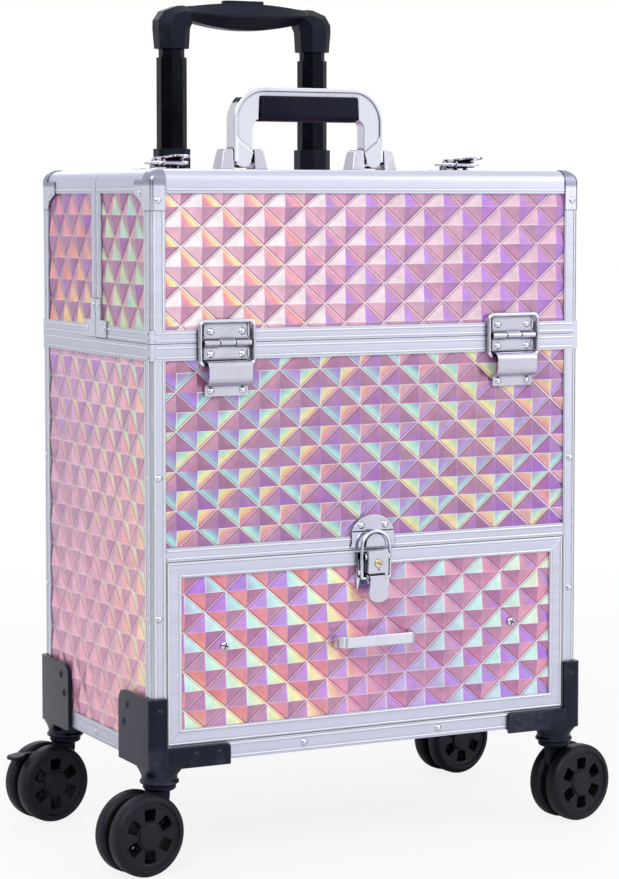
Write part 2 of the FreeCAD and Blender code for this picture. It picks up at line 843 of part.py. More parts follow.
def caster_wheels(label, side, way):
    """Twin wheels, each a hub with a tyre round it, on their axle."""
    centre = (d.caster_trail, d.wheel_radius)
    near = d.wheel_spacing / 2
    far = near + d.wheel_thickness
    rim = d.wheel_radius - d.tyre_depth
    solids = [rod("y", (-far, far), centre, d.axle_radius)]
    for hand in BOTH:
        ends = (hand * near, hand * far)
        windows = [wheel_window(centre, number) for number in range(WINDOWS)]
        hub = [Circle(centre, rim), Circle(centre, d.axle_radius)] + windows
        solids.append(slab("y", hub, ends))
        solids.append(slab("y", [Circle(centre, d.wheel_radius), Circle(centre, rim)], ends))
    wheels = piece(label, *solids)
    return moved(wheels, side * CASTER_X, way * CASTER_Y, 0.0, heading(side))


piece("caster_brackets", *[corner_bracket(side, way) for side in BOTH for way in BOTH])
for side, hand in ((-1, "left"), (1, "right")):
    for way, end in ((-1, "front"), (1, "rear")):
        caster_fork(f"caster_fork_{end}_{hand}", side, way)
        caster_wheels(f"caster_wheels_{end}_{hand}", side, way)

# Stay hinges

HINGE_Y = FRONT - d.hinge_axis_out
HINGE_Z = SEAM + d.seam_gap / 2
KNUCKLES = 3
KNUCKLE = d.hinge_width / KNUCKLES
RING_Y = FRONT - d.curl_radius
RING_Z = HINGE_Z + d.ring_pivot_height
RING_BAR_Z = RING_Z - d.ring_length
SLEEVE_SILL = RING_BAR_Z - d.sleeve_slack_down - d.ring_wire_radius - d.moving_gap
LEAF_SHEET = (FRONT - d.hinge_sheet, FRONT)


def hinge_leaf(middle, up):
    """One hinge leaf with its knuckles; up is 1 on the lid and -1 on the base."""
    half = d.hinge_width / 2
    near = HINGE_Z + up * (d.hinge_knuckle_radius + d.moving_gap)
    far = HINGE_Z + up * d.hinge_leaf_height
    solids = [block((middle - half, middle + half), LEAF_SHEET, (near, far))]
    for number in range(KNUCKLES):
        if number % 2 == (1 if up > 0 else 0):
            low = middle - half + KNUCKLE * number + d.moving_gap / 2
            high = low + KNUCKLE - d.moving_gap
            solids.append(rod("x", (low, high), (HINGE_Y, HINGE_Z), d.hinge_knuckle_radius))
            solids.append(block((low, high), (HINGE_Y, FRONT), (HINGE_Z + up * d.seam_gap, near)))
    bore_radius = d.hinge_pin_radius + d.running_gap
    bore = rod("x", (middle - half, middle + half), (HINGE_Y, HINGE_Z), bore_radius)
    if up > 0:
        curl = (middle - d.curl_width / 2, middle + d.curl_width / 2)
        solids.append(block(curl, LEAF_SHEET, (far, RING_Z)))
        solids.append(rod("x", curl, (RING_Y, RING_Z), d.curl_radius))
        eye = rod("x", curl, (RING_Y, RING_Z), d.ring_wire_radius + d.running_gap)
        return cut(joined_solid(*solids), bore, eye)
    return cut(joined_solid(*solids), bore)


def stay_ring(middle):
    """Rectangular wire ring that hangs in the upper leaf's curl."""
    half = d.hinge_width / 2 + d.ring_side_gap + d.ring_wire_radius
    corners = [
        (middle - half, RING_Y, RING_Z),
        (middle + half, RING_Y, RING_Z),
        (middle + half, RING_Y, RING_BAR_Z),
        (middle - half, RING_Y, RING_BAR_Z),
    ]
    return bent_wire(corners, [d.ring_bend_radius] * 4, d.ring_wire_radius, closed=True)


def stay_sleeve(middle):
    """Strap in front of the ring's lower bar, which slides down behind it as the lid opens."""
    roof = RING_BAR_Z + d.ring_wire_radius + d.moving_gap
    sill = SLEEVE_SILL
    inside = HINGE_Y - d.sleeve_slack_out - d.ring_wire_radius
    outside = inside - d.hinge_sheet
    bottom = sill - d.hinge_sheet - d.sleeve_foot_height
    outline = [
        (FRONT, roof),
        (inside, roof),
        (inside, sill),
        (FRONT, sill),
        (FRONT, bottom),
        (FRONT - d.hinge_sheet, bottom),
        (FRONT - d.hinge_sheet, sill - d.hinge_sheet),
        (outside, sill - d.hinge_sheet),
        (outside, roof + d.hinge_sheet),
        (FRONT, roof + d.hinge_sheet),
    ]
    half = d.sleeve_width / 2
    return slab("x", [outline], (middle - half, middle + half), [([7, 8], d.sleeve_bend_radius)])


def hinge_pin(middle):
    """Pin through the knuckles of one hinge."""
    half = d.hinge_width / 2
    return rod("x", (middle - half, middle + half), (HINGE_Y, HINGE_Z), d.hinge_pin_radius)


HINGE_MIDDLES = [side * (HALF_WIDTH - d.hinge_from_side) for side in BOTH]
piece("hinge_upper_leaves", *[hinge_leaf(middle, 1) for middle in HINGE_MIDDLES])
piece(
    "hinge_lower_leaves",
    *[hinge_leaf(middle, -1) for middle in HINGE_MIDDLES],
    *[hinge_pin(middle) for middle in HINGE_MIDDLES],
)
piece("stay_rings", *[stay_ring(middle) for middle in HINGE_MIDDLES])
piece("stay_sleeves", *[stay_sleeve(middle) for middle in HINGE_MIDDLES])

# Draw latches, drawn lying flat: y runs towards the keeper and z away from the surface

HOOK_END = d.hook_from_split + d.hook_length
BAIL_BAR = HOOK_END + d.bail_slack + d.bail_wire_radius
LEVER_PIVOT = (-d.lever_pivot_from_split, d.lever_pivot_height)
BAIL_PIVOT = (-d.bail_pivot_from_split, d.bail_height)
EAR_INSIDE = d.lever_width / 2 + d.moving_gap
EAR_OUTSIDE = EAR_INSIDE + d.ear_thickness
BAIL_X = EAR_OUTSIDE + d.moving_gap + d.bail_wire_radius


def arched_plate(width, ends, thickness, radius):
    """Flat plate whose far corners are rounded off."""
    half = width / 2
    outline = [(-half, ends[0]), (half, ends[0]), (half, ends[1]), (-half, ends[1])]
    return slab("z", [outline], (0.0, thickness), [([2, 3], radius)])


def latch_keeper():
    """Riveted plate with the hook that the bail's arch goes round."""
    ends = (d.latch_from_split, d.latch_from_split + d.keeper_length)
    hook_top = d.bail_height - d.bail_wire_radius + d.hook_overlap
    return joined_solid(
        arched_plate(d.keeper_width, ends, d.latch_sheet, d.keeper_corner_radius),
        arched_plate(d.hook_width, (d.hook_from_split, HOOK_END), hook_top, d.hook_corner_radius),
    )


def latch_plate():
    """Base plate with two ears and the lever's pin."""
    half = d.latch_plate_width / 2
    back = -d.latch_from_split - d.latch_plate_length
    solids = [block((-half, half), (back, -d.latch_from_split), (0.0, d.latch_sheet))]
    y, z = LEVER_PIVOT
    for hand in BOTH:
        ends = (hand * EAR_INSIDE, hand * EAR_OUTSIDE)
        solids.append(block(ends, (y - d.ear_radius, y + d.ear_radius), (0.0, z)))
        solids.append(rod("x", ends, LEVER_PIVOT, d.ear_radius))
    solids.append(rod("x", (-EAR_OUTSIDE, EAR_OUTSIDE), LEVER_PIVOT, d.lever_pin_radius))
    return joined_solid(*solids)


def latch_lever():
    """Lever that turns on the plate's pin, and the lock cylinder in its face."""
    half = d.lever_width / 2
    y, z = LEVER_PIVOT
    top = z + d.lever_boss_radius
    bend, tip = -d.lever_bend_from_split, -d.lever_tip_from_split
    outline = [
        (y, top),
        (bend, top),
        (tip, top + d.lever_tip_rise),
        (tip, top + d.lever_tip_rise - d.lever_tip_sheet),
        (bend, top - d.lever_sheet),
        (y, top - d.lever_sheet),
    ]
    body = joined_solid(
        slab("x", [outline], (-half, half)),
        rod("x", (-half, half), LEVER_PIVOT, d.lever_boss_radius),
        rod("x", (-half, half), BAIL_PIVOT, d.bail_boss_radius),
    )
    pin_hole = rod("x", (-half, half), LEVER_PIVOT, d.lever_pin_radius + d.running_gap)
    bail_hole = rod("x", (-half, half), BAIL_PIVOT, d.bail_wire_radius + d.running_gap)
    lock = rod("z", (top, top + d.lock_height), (0.0, -d.lock_from_split), d.lock_radius)
    return cut(body, pin_hole, bail_hole), lock


def latch_bail():
    """Wire arch from the lever's sides round the keeper's hook."""
    y, z = BAIL_PIVOT
    inner = d.lever_width / 2 - d.bail_wire_radius * 2
    corners = [
        (-inner, y, z),
        (-BAIL_X, y, z),
        (-BAIL_X, BAIL_BAR, z),
        (BAIL_X, BAIL_BAR, z),
        (BAIL_X, y, z),
        (inner, y, z),
    ]
    foot, arch = d.bail_foot_bend_radius, d.bail_bend_radius
    return bent_wire(corners, [foot, arch, arch, foot], d.bail_wire_radius)


FLAT = Rotation()
UPRIGHT = Rotation(Vector(1, 0, 0), 90)
TOP_LATCHES = [side * (HALF_WIDTH - d.top_latch_from_side) for side in BOTH]
piece("top_latch_keepers", *[moved(latch_keeper(), x, SPLIT, LID_TOP, FLAT) for x in TOP_LATCHES])
piece("top_latch_plates", *[moved(latch_plate(), x, SPLIT, LID_TOP, FLAT) for x in TOP_LATCHES])
for x, hand in zip(TOP_LATCHES, ("left", "right")):
    moved(piece(f"top_latch_lever_{hand}", *latch_lever()), x, SPLIT, LID_TOP, FLAT)
    moved(piece(f"top_latch_bail_{hand}", latch_bail()), x, SPLIT, LID_TOP, FLAT)
moved(piece("drawer_latch_keeper", latch_keeper()), 0.0, FRONT, DRAWER_TOP, UPRIGHT)
moved(piece("drawer_latch_plate", latch_plate()), 0.0, FRONT, DRAWER_TOP, UPRIGHT)
moved(piece("drawer_latch_lever", *latch_lever()), 0.0, FRONT, DRAWER_TOP, UPRIGHT)
moved(piece("drawer_latch_bail", latch_bail()), 0.0, FRONT, DRAWER_TOP, UPRIGHT)

# Drawer

DRAWER_HALF = POST_INSIDE - d.drawer_gap
DRAWER_LOW = DRAWER_BOTTOM + d.drawer_gap
DRAWER_HIGH = DRAWER_TOP - d.drawer_gap
BOX_HALF = SIDE_INSIDE - d.runner_room
BOX_LOW = DRAWER_LOW + d.drawer_box_lift
BOX_FRONT = FRONT + BOARD_IN
BOX_BACK = REAR - BOARD_IN - d.drawer_back_gap
RUNNER_LOW = BOX_LOW + d.runner_above_box


def drawer_frame():
    """Four mitred strips round the drawer front."""
    wide = d.drawer_frame_width
    strips = []
    for side in BOTH:
        edge, inner = side * DRAWER_HALF, side * (DRAWER_HALF - wide)
        outline = [
            (edge, DRAWER_LOW),
            (edge, DRAWER_HIGH),
            (inner, DRAWER_HIGH - wide),
            (inner, DRAWER_LOW + wide),
        ]
        strips.append(slab("y", [outline], (FRONT, FRONT + d.flange)))
    for level, way in ((DRAWER_LOW, 1), (DRAWER_HIGH, -1)):
        inner = DRAWER_HALF - wide
        outline = [
            (-DRAWER_HALF, level),
            (DRAWER_HALF, level),
            (inner, level + way * wide),
            (-inner, level + way * wide),
        ]
        strips.append(slab("y", [outline], (FRONT, FRONT + d.flange)))
    return strips


def drawer_box():
    """Two sides, back and bottom of the drawer."""
    inner = BOX_HALF - d.drawer_side
    height = (BOX_LOW, BOX_LOW + d.drawer_box_height)
    boards = [block((s * inner, s * BOX_HALF), (BOX_FRONT, BOX_BACK), height) for s in BOTH]
    boards.append(block((-inner, inner), (BOX_BACK - d.drawer_side, BOX_BACK), height))
    floor = (BOX_LOW, BOX_LOW + d.drawer_bottom)
    boards.append(block((-inner, inner), (BOX_FRONT, BOX_BACK - d.drawer_side), floor))
    return boards


def drawer_pull():
    """Flat strap bent into a low bridge."""
    half = d.pull_width / 2
    out = FRONT - d.pull_reach
    strap = d.pull_strap
    seat = FRONT + BOARD_OUT
    outline = [
        (-half, seat),
        (-half, out),
        (half, out),
        (half, seat),
        (half - strap, seat),
        (half - strap, out + strap),
        (-half + strap, out + strap),
        (-half + strap, seat),
    ]
    middle = RAIL_BOTTOM + d.pull_above_rail
    ends = (middle - d.pull_height / 2, middle + d.pull_height / 2)
    return slab("z", [outline], ends, [([1, 2], d.pull_bend_radius)])


piece("drawer_front_frame", *drawer_frame())
piece(
    "drawer_front_panel",
    block((-DRAWER_HALF, DRAWER_HALF), FRONT_BOARD, (DRAWER_LOW, DRAWER_HIGH)),
)
piece("drawer_box", *drawer_box())
piece("drawer_pull", drawer_pull())
RUNNER_HEIGHT = (RUNNER_LOW, RUNNER_LOW + d.runner_height)
RUNNER_DEPTH = (BOX_FRONT + d.runner_from_front, BOX_BACK)
FIXED_FACE = SIDE_INSIDE - d.fixed_runner_thickness
piece(
    "drawer_fixed_runners",
    *[block((s * SIDE_INSIDE, s * FIXED_FACE), RUNNER_DEPTH, RUNNER_HEIGHT) for s in BOTH],
)
piece(
    "drawer_moving_runners",
    *[block((s * BOX_HALF, s * (FIXED_FACE - d.moving_gap)), RUNNER_DEPTH, RUNNER_HEIGHT) for s in BOTH],
)

# Carry handle

FOOT_Y = REAR_EDGE + d.handle_foot_depth / 2
HANDLE_PIVOT = (FOOT_Y, LID_TOP + d.handle_pivot_height)
HANDLE_OUTSIDE = d.handle_foot_from_middle + d.handle_leg_width / 2
HANDLE_INSIDE = d.handle_foot_from_middle - d.handle_leg_width / 2
HANDLE_TOP = LID_TOP + d.handle_top_height
BAR_BOTTOM = HANDLE_TOP - d.handle_bar_height


def handle_foot(side):
    """Foot with two cheeks and the pin between them."""
    middle = side * d.handle_foot_from_middle
    half = d.handle_foot_width / 2
    depth = (FOOT_Y - d.handle_foot_depth / 2, FOOT_Y + d.handle_foot_depth / 2)
    top = LID_TOP + d.handle_foot_height
    gap = d.handle_leg_width / 2 + d.moving_gap
    cheeks = []
    for hand in BOTH:
        outer, inner = middle + hand * half, middle + hand * gap
        rounds = [("y", (outer, top), d.handle_foot_radius)]
        cheeks.append(rounded_block((outer, inner), depth, (LID_TOP, top), rounds))
    base = block((middle - half, middle + half), depth, (LID_TOP, LID_TOP + d.handle_foot_sheet))
    pin = rod("x", (middle - gap, middle + gap), HANDLE_PIVOT, d.handle_pin_radius)
    return joined_solid(base, pin, *cheeks)


def handle_bow():
    """Bow of the carry handle: two legs under a top bar, on the feet's pins."""
    low = HANDLE_PIVOT[1]
    outline = [
        (-HANDLE_OUTSIDE, low),
        (-HANDLE_OUTSIDE, HANDLE_TOP),
        (HANDLE_OUTSIDE, HANDLE_TOP),
        (HANDLE_OUTSIDE, low),
        (HANDLE_INSIDE, low),
        (HANDLE_INSIDE, BAR_BOTTOM),
        (-HANDLE_INSIDE, BAR_BOTTOM),
        (-HANDLE_INSIDE, low),
    ]
    rounds = [([1, 2], d.handle_outer_radius), ([5, 6], d.handle_inner_radius)]
    half = d.handle_depth / 2
    solids = [slab("y", [outline], (FOOT_Y - half, FOOT_Y + half), rounds)]
    holes = []
    for side in BOTH:
        ends = (side * HANDLE_INSIDE, side * HANDLE_OUTSIDE)
        solids.append(rod("x", ends, HANDLE_PIVOT, d.handle_leg_end_radius))
        holes.append(rod("x", ends, HANDLE_PIVOT, d.handle_pin_radius + d.running_gap))
    return cut(joined_solid(*solids), *holes)


piece("carry_handle_feet", *[handle_foot(side) for side in BOTH])
piece("carry_handle_bow", handle_bow())
piece(
    "carry_handle_grip",
    block(
        (-d.grip_length / 2, d.grip_length / 2),
        (FOOT_Y - d.grip_depth / 2, FOOT_Y + d.grip_depth / 2),
        (BAR_BOTTOM - d.grip_height, BAR_BOTTOM),
    ),
)

# Trolley

STAGE = d.trolley_slide_gap + d.trolley_tube_wall
MIDDLE_WIDTH = d.trolley_inner_width + STAGE * 2
OUTER_WIDTH = MIDDLE_WIDTH + STAGE * 2
CORNER_GROWTH = 2 - math.sqrt(2)
TROLLEY_Y = REAR + OUTER_WIDTH / 2
COLLAR_TOP = LID_TOP + d.trolley_top_above_lid
MIDDLE_TOP = COLLAR_TOP + d.trolley_middle_shown
INNER_TOP = MIDDLE_TOP + d.trolley_inner_shown
TUBE_BOTTOM = RAIL_BOTTOM + d.trolley_tube_start


def tube_outline(side, width):
    """Eight-sided outline of a trolley tube, with its cut corners grown in step."""
    chamfer = d.trolley_tube_chamfer + (width - d.trolley_inner_width) / 2 * CORNER_GROWTH
    return octagon((side * d.trolley_from_middle, TROLLEY_Y), width, width, chamfer)


def tube(side, width, ends):
    """Thin-walled trolley tube."""
    bore = width - d.trolley_tube_wall * 2
    return slab("z", [tube_outline(side, width), tube_outline(side, bore)], ends)


def trolley_clamp(low):
    """Block that holds both fixed tubes against the back of the case."""
    half = d.trolley_from_middle + OUTER_WIDTH / 2 + d.trolley_clamp_wall
    back = REAR + OUTER_WIDTH + d.trolley_clamp_wall
    ends = (low, low + d.trolley_clamp_height)
    body = block((-half, half), (REAR, back), ends)
    seat_ends = (low - OVERCUT, ends[1] + OVERCUT)
    seats = [slab("z", [tube_outline(side, OUTER_WIDTH)], seat_ends) for side in BOTH]
    return cut(body, *seats)


def trolley_grip():
    """Two boots on the inner tubes under an arched crossbar with a well for the button."""
    boot_top = INNER_TOP + d.boot_height
    end = d.trolley_from_middle + d.boot_width / 2
    inner = d.trolley_from_middle - d.boot_width / 2
    shoulder = boot_top + d.crossbar_shoulder
    crown = boot_top + d.crossbar_rise
    quarter = end / 2
    outline = [
        (-end, boot_top),
        (-inner, shoulder),
        (-quarter, crown - d.crossbar_crown_drop),
        (0.0, crown),
        (quarter, crown - d.crossbar_crown_drop),
        (inner, shoulder),
        (end, boot_top),
        (inner, boot_top - d.crossbar_shoulder),
        (quarter, boot_top - d.crossbar_belly),
        (-quarter, boot_top - d.crossbar_belly),
        (-inner, boot_top - d.crossbar_shoulder),
    ]
    half = d.crossbar_depth / 2
    solids = [slab("y", [outline], (TROLLEY_Y - half, TROLLEY_Y + half))]
    seats = []
    for side in BOTH:
        middle = (side * d.trolley_from_middle, TROLLEY_Y)
        boot = octagon(middle, d.boot_width, d.boot_depth, d.trolley_tube_chamfer)
        solids.append(slab("z", [boot], (INNER_TOP, boot_top)))
        seat = tube_outline(side, d.trolley_inner_width)
        seat_ends = (INNER_TOP - OVERCUT, INNER_TOP + d.boot_socket_depth)
        seats.append(slab("z", [seat], seat_ends))
    well_x = d.button_width / 2 + d.moving_gap
    well_y = d.button_depth / 2 + d.moving_gap
    floor = crown - d.button_skirt - d.button_travel - d.moving_gap
    well_depth = (TROLLEY_Y - well_y, TROLLEY_Y + well_y)
    well = block((-well_x, well_x), well_depth, (floor, crown + OVERCUT))
    return cut(joined_solid(*solids), well, *seats)


def trolley_button():
    """Push button that rises from the crossbar's well."""
    half = d.button_width / 2
    depth = d.button_depth / 2
    crown = INNER_TOP + d.boot_height + d.crossbar_rise
    outline = [
        (-half, TROLLEY_Y - depth),
        (half, TROLLEY_Y - depth),
        (half, TROLLEY_Y + depth),
        (-half, TROLLEY_Y + depth),
    ]
    ends = (crown - d.button_skirt, crown + d.button_proud)
    return slab("z", [outline], ends, [([0, 1, 2, 3], d.button_corner_radius)])


MIDDLE_ENDS = (MIDDLE_TOP - d.trolley_middle_length, MIDDLE_TOP)
INNER_ENDS = (INNER_TOP - d.trolley_inner_length, INNER_TOP + d.boot_socket_depth)
piece("trolley_outer_tubes", *[tube(s, OUTER_WIDTH, (TUBE_BOTTOM, COLLAR_TOP)) for s in BOTH])
COLLAR_WIDTH = OUTER_WIDTH + d.trolley_collar_wall * 2
COLLAR_ENDS = (LID_TOP, COLLAR_TOP)
COLLAR_LOOPS = [[tube_outline(s, COLLAR_WIDTH), tube_outline(s, OUTER_WIDTH)] for s in BOTH]
piece("trolley_collars", *[slab("z", loops, COLLAR_ENDS) for loops in COLLAR_LOOPS])
piece(
    "trolley_clamps",
    trolley_clamp(TUBE_BOTTOM),
    trolley_clamp(SEAM - d.trolley_clamp_below_seam - d.trolley_clamp_height),
)
piece("trolley_middle_tubes", *[tube(s, MIDDLE_WIDTH, MIDDLE_ENDS) for s in BOTH])
piece("trolley_inner_tubes", *[tube(s, d.trolley_inner_width, INNER_ENDS) for s in BOTH])
piece("trolley_grip", trolley_grip())
piece("trolley_button", trolley_button())

# Swing-out tray

TRAY_HALF = SIDE_INSIDE - d.tray_side_room
TRAY_FRONT = FRONT + BOARD_IN + d.tray_from_lid_front
TRAY_BACK = TRAY_FRONT + d.tray_depth
LEAN = math.radians(float(d.tray_arm_lean))
TRAY_PIVOT = (
    TRAY_FRONT + d.tray_pivot_from_front,
    SEAM - d.tray_post_below_seam + d.tray_arm_length * math.cos(LEAN),
)
TRAY_BOTTOM = TRAY_PIVOT[1] - d.tray_pivot_above_bottom
ARM_FOOT = (
    TRAY_PIVOT[0] - d.tray_arm_length * math.sin(LEAN),
    TRAY_PIVOT[1] - d.tray_arm_length * math.cos(LEAN),
)
ARM_X = (
    TRAY_HALF + d.tray_arm_gap,
    TRAY_HALF + d.tray_arm_gap + d.tray_arm_thickness,
)
ARM_OFFSETS = (("front", 0.0), ("rear", d.tray_arm_spacing))


def tray_arm(side, offset):
    """Flat arm with round ends and a pin hole at each end."""
    foot = (ARM_FOOT[0] + offset, ARM_FOOT[1])
    head = (TRAY_PIVOT[0] + offset, TRAY_PIVOT[1])
    across = d.tray_arm_width / 2
    y_step, z_step = across * math.cos(LEAN), -across * math.sin(LEAN)
    outline = [
        (foot[0] - y_step, foot[1] - z_step),
        (foot[0] + y_step, foot[1] + z_step),
        (head[0] + y_step, head[1] + z_step),
        (head[0] - y_step, head[1] - z_step),
    ]
    ends = (side * ARM_X[0], side * ARM_X[1])
    body = joined_solid(
        slab("x", [outline], ends),
        rod("x", ends, foot, across),
        rod("x", ends, head, across),
    )
    hole = d.tray_pin_radius + d.running_gap
    return cut(body, rod("x", ends, foot, hole), rod("x", ends, head, hole))


def tray():
    """Open tray with the pins that its arms carry."""
    top = TRAY_BOTTOM + d.tray_height
    box = block((-TRAY_HALF, TRAY_HALF), (TRAY_FRONT, TRAY_BACK), (TRAY_BOTTOM, top))
    hollow = block(
        (-TRAY_HALF + d.tray_wall, TRAY_HALF - d.tray_wall),
        (TRAY_FRONT + d.tray_wall, TRAY_BACK - d.tray_wall),
        (TRAY_BOTTOM + d.tray_wall, top + OVERCUT),
    )
    pins = []
    for side in BOTH:
        for _, offset in ARM_OFFSETS:
            ends = (side * (TRAY_HALF - d.tray_wall), side * ARM_X[1])
            pins.append(rod("x", ends, (TRAY_PIVOT[0] + offset, TRAY_PIVOT[1]), d.tray_pin_radius))
    return joined_solid(cut(box, hollow), *pins)


def tray_post(side, offset):
    """Boss on the case's side wall with the pin for one arm's foot."""
    foot = (ARM_FOOT[0] + offset, ARM_FOOT[1])
    boss = rod("x", (side * (ARM_X[1] + d.moving_gap), side * SIDE_INSIDE), foot, d.tray_post_radius)
    pin = rod("x", (side * ARM_X[0], side * SIDE_INSIDE), foot, d.tray_pin_radius)
    return joined_solid(boss, pin)


piece("tray", tray())
for name, offset in ARM_OFFSETS:
    piece(f"tray_{name}_arms", *[tray_arm(side, offset) for side in BOTH])
piece("tray_posts", *[tray_post(side, offset) for side in BOTH for _, offset in ARM_OFFSETS])

# Rivets and screws


def rivet(axis, way, seat):
    """Small domed rivet head."""
    return dome(axis, way, seat, d.rivet_radius, d.rivet_height)


def screw(axis, way, seat):
    """Domed screw head."""
    return dome(axis, way, seat, d.screw_radius, d.screw_height)


POST_RIVETS = (RAIL_BOTTOM + d.post_rivet_low, RAIL_BOTTOM + d.post_rivet_high)
POST_MIDDLE = d.flange_width / 2
LEAF_MIDDLE = (d.hinge_knuckle_radius + d.moving_gap + d.hinge_leaf_height) / 2
SLEEVE_FOOT_MIDDLE = SLEEVE_SILL - d.hinge_sheet - d.sleeve_foot_height / 2
KEEPER_RIVET = d.latch_from_split + d.keeper_length - d.keeper_rivet_from_end


def frame_rivets():
    """Rivets along the corner posts and the bottom rails."""
    heads = []
    rail = RAIL_BOTTOM + d.bottom_rail_height / 2
    for side in BOTH:
        for way in BOTH:
            for z in POST_RIVETS:
                heads.append(rivet("y", way, (side * (HALF_WIDTH - POST_MIDDLE), way * REAR, z)))
                heads.append(rivet("x", side, (side * HALF_WIDTH, way * (REAR - POST_MIDDLE), z)))
        heads.append(rivet("x", side, (side * HALF_WIDTH, 0.0, rail)))
        heads.append(rivet("y", -1, (side * d.rail_rivet_from_middle, FRONT, rail)))
    return heads


def hinge_rivets(level):
    """A row of two rivets at one level of each stay hinge."""
    face = FRONT - d.hinge_sheet
    places = [middle + s * d.hinge_rivet_from_middle for middle in HINGE_MIDDLES for s in BOTH]
    return [rivet("y", -1, (x, face, level)) for x in places]


def keeper_rivets():
    """Two rivets in each latch keeper."""
    heads = []
    for s in BOTH:
        x = s * d.keeper_rivet_from_middle
        heads.append(rivet("y", -1, (x, FRONT - d.latch_sheet, DRAWER_TOP + KEEPER_RIVET)))
        for middle in TOP_LATCHES:
            heads.append(rivet("z", 1, (middle + x, SPLIT + KEEPER_RIVET, LID_TOP + d.latch_sheet)))
    return heads


def lid_rivets(way, edge):
    """Rivets in the corner caps and the elbows of one lid half."""
    heads = []
    outer = way * REAR
    low = LID_TOP - d.cap_rivet_down
    inset = d.elbow_rivet_inset
    for side in BOTH:
        skin = side * (HALF_WIDTH + d.cap_sheet)
        post = side * (HALF_WIDTH - POST_MIDDLE)
        plate = outer - way * d.cap_side_rivet_in
        heads.append(rivet("x", side, (skin, plate, LID_TOP - d.cap_side_shoulder)))
        heads.append(rivet("y", way, (post, outer + way * d.cap_sheet, low)))
        leg_top = ELBOW_BOTTOM + d.elbow_leg_height
        foot_end = edge + way * d.elbow_foot_reach
        foot_middle = ELBOW_BOTTOM + d.elbow_foot_height / 2
        heads.append(rivet("x", side, (skin, edge + way * d.elbow_leg_width / 2, leg_top - inset)))
        heads.append(rivet("x", side, (skin, foot_end - way * inset, foot_middle)))
    return heads


def bracket_screws():
    """Two screws in each bracket's cheek, one in its leg and two in its foot."""
    heads = []
    top = RAIL_BOTTOM + d.bracket_height - d.bracket_corner_radius
    for side in BOTH:
        cheek = side * (HALF_WIDTH + d.bracket_wall)
        leg = side * (HALF_WIDTH - d.bracket_leg_width / 2)
        for way in BOTH:
            face = way * (REAR + d.bracket_wall)
            back = way * (REAR - d.bracket_side_reach + d.bracket_corner_radius)
            heads.append(screw("x", side, (cheek, back, top - d.bracket_screw_drop)))
            heads.append(screw("x", side, (cheek, back + way * d.bracket_screw_shift, top)))
            heads.append(rivet("y", way, (leg, face, top)))
            for inward in (d.bracket_foot_rivet_near, d.bracket_foot_rivet_far):
                x = side * (HALF_WIDTH - inward)
                heads.append(rivet("y", way, (x, face, RAIL_BOTTOM + d.bracket_foot_height / 2)))
    return heads


piece(
    "case_rivets",
    *frame_rivets(),
    *hinge_rivets(HINGE_Z - LEAF_MIDDLE),
    *hinge_rivets(SLEEVE_FOOT_MIDDLE),
    *keeper_rivets(),
    *lid_rivets(1, REAR_EDGE),
)
piece("front_lid_rivets", *lid_rivets(-1, FRONT_EDGE), *hinge_rivets(HINGE_Z + LEAF_MIDDLE))
piece("bracket_screws", *bracket_screws())
SCREW_LEVEL = RAIL_BOTTOM + d.drawer_screw_above_rail
SCREW_X = HALF_WIDTH - d.drawer_screw_from_side
SCREW_SEATS = [(s * SCREW_X, FRONT + BOARD_OUT, SCREW_LEVEL) for s in BOTH]
piece("drawer_screws", *[screw("y", -1, seat) for seat in SCREW_SEATS])

# Check every object, then write one file per sub-part

doc.recompute()
for item in doc.Objects:
    if "Invalid" in item.State or "Error" in item.State:
        raise RuntimeError(f"{item.Label} failed: {item.State}")
for item in NODES:
    if item.Shape.isNull() or not item.Shape.isValid() or not item.Shape.Solids:
        raise RuntimeError(f"{item.Label} has no sound shape")
os.makedirs("parts", exist_ok=True)
for item in NODES:
    item.Shape.exportStep(f"parts/{item.Label}.step")
print(f"{len(NODES)} sub-parts, {sum(len(item.Shape.Solids) for item in NODES)} solids")
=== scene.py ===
"""Looks of the rolling makeup train case, dressed around its packed construction.

Sizes are in millimetres and are turned into metres where a mesh is made. The case stands on
z = 0, its front faces -Y and x = 0 is its middle.
"""

import itertools
import logging
import math
import random
from collections.abc import Callable, Iterable, Sequence
from dataclasses import dataclass, field
from enum import Enum
from typing import ClassVar

import bmesh
import bpy
from mathutils import Matrix, Vector


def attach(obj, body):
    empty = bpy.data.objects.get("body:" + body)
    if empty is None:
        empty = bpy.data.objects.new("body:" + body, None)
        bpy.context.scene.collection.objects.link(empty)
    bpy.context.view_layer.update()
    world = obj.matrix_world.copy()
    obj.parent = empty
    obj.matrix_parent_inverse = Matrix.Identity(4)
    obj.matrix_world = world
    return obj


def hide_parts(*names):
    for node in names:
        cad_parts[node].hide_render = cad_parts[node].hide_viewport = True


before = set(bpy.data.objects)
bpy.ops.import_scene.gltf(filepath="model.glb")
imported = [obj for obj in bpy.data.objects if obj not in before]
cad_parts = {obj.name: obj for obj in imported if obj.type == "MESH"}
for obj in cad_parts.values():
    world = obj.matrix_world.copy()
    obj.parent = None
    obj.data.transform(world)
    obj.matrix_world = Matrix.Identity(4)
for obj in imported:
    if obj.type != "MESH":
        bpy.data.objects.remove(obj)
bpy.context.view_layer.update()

LOG = logging.getLogger("train_case")
MM = 0.001

Pair = tuple[float, float]
Triple = tuple[float, float, float]
Rgb = tuple[int, int, int]
Colour = tuple[float, float, float, float]
Outline = Sequence[Pair]
Socket = bpy.types.NodeSocket
Node = bpy.types.Node
Outputs = bpy.types.bpy_prop_collection
Pieces = list[bpy.types.Object]

SIDES = (-1.0, 1.0)
ORIGIN = (0.0, 0.0, 0.0)
X_AXIS = Vector((1.0, 0.0, 0.0))
Y_AXIS = Vector((0.0, 1.0, 0.0))
Z_AXIS = Vector((0.0, 0.0, 1.0))


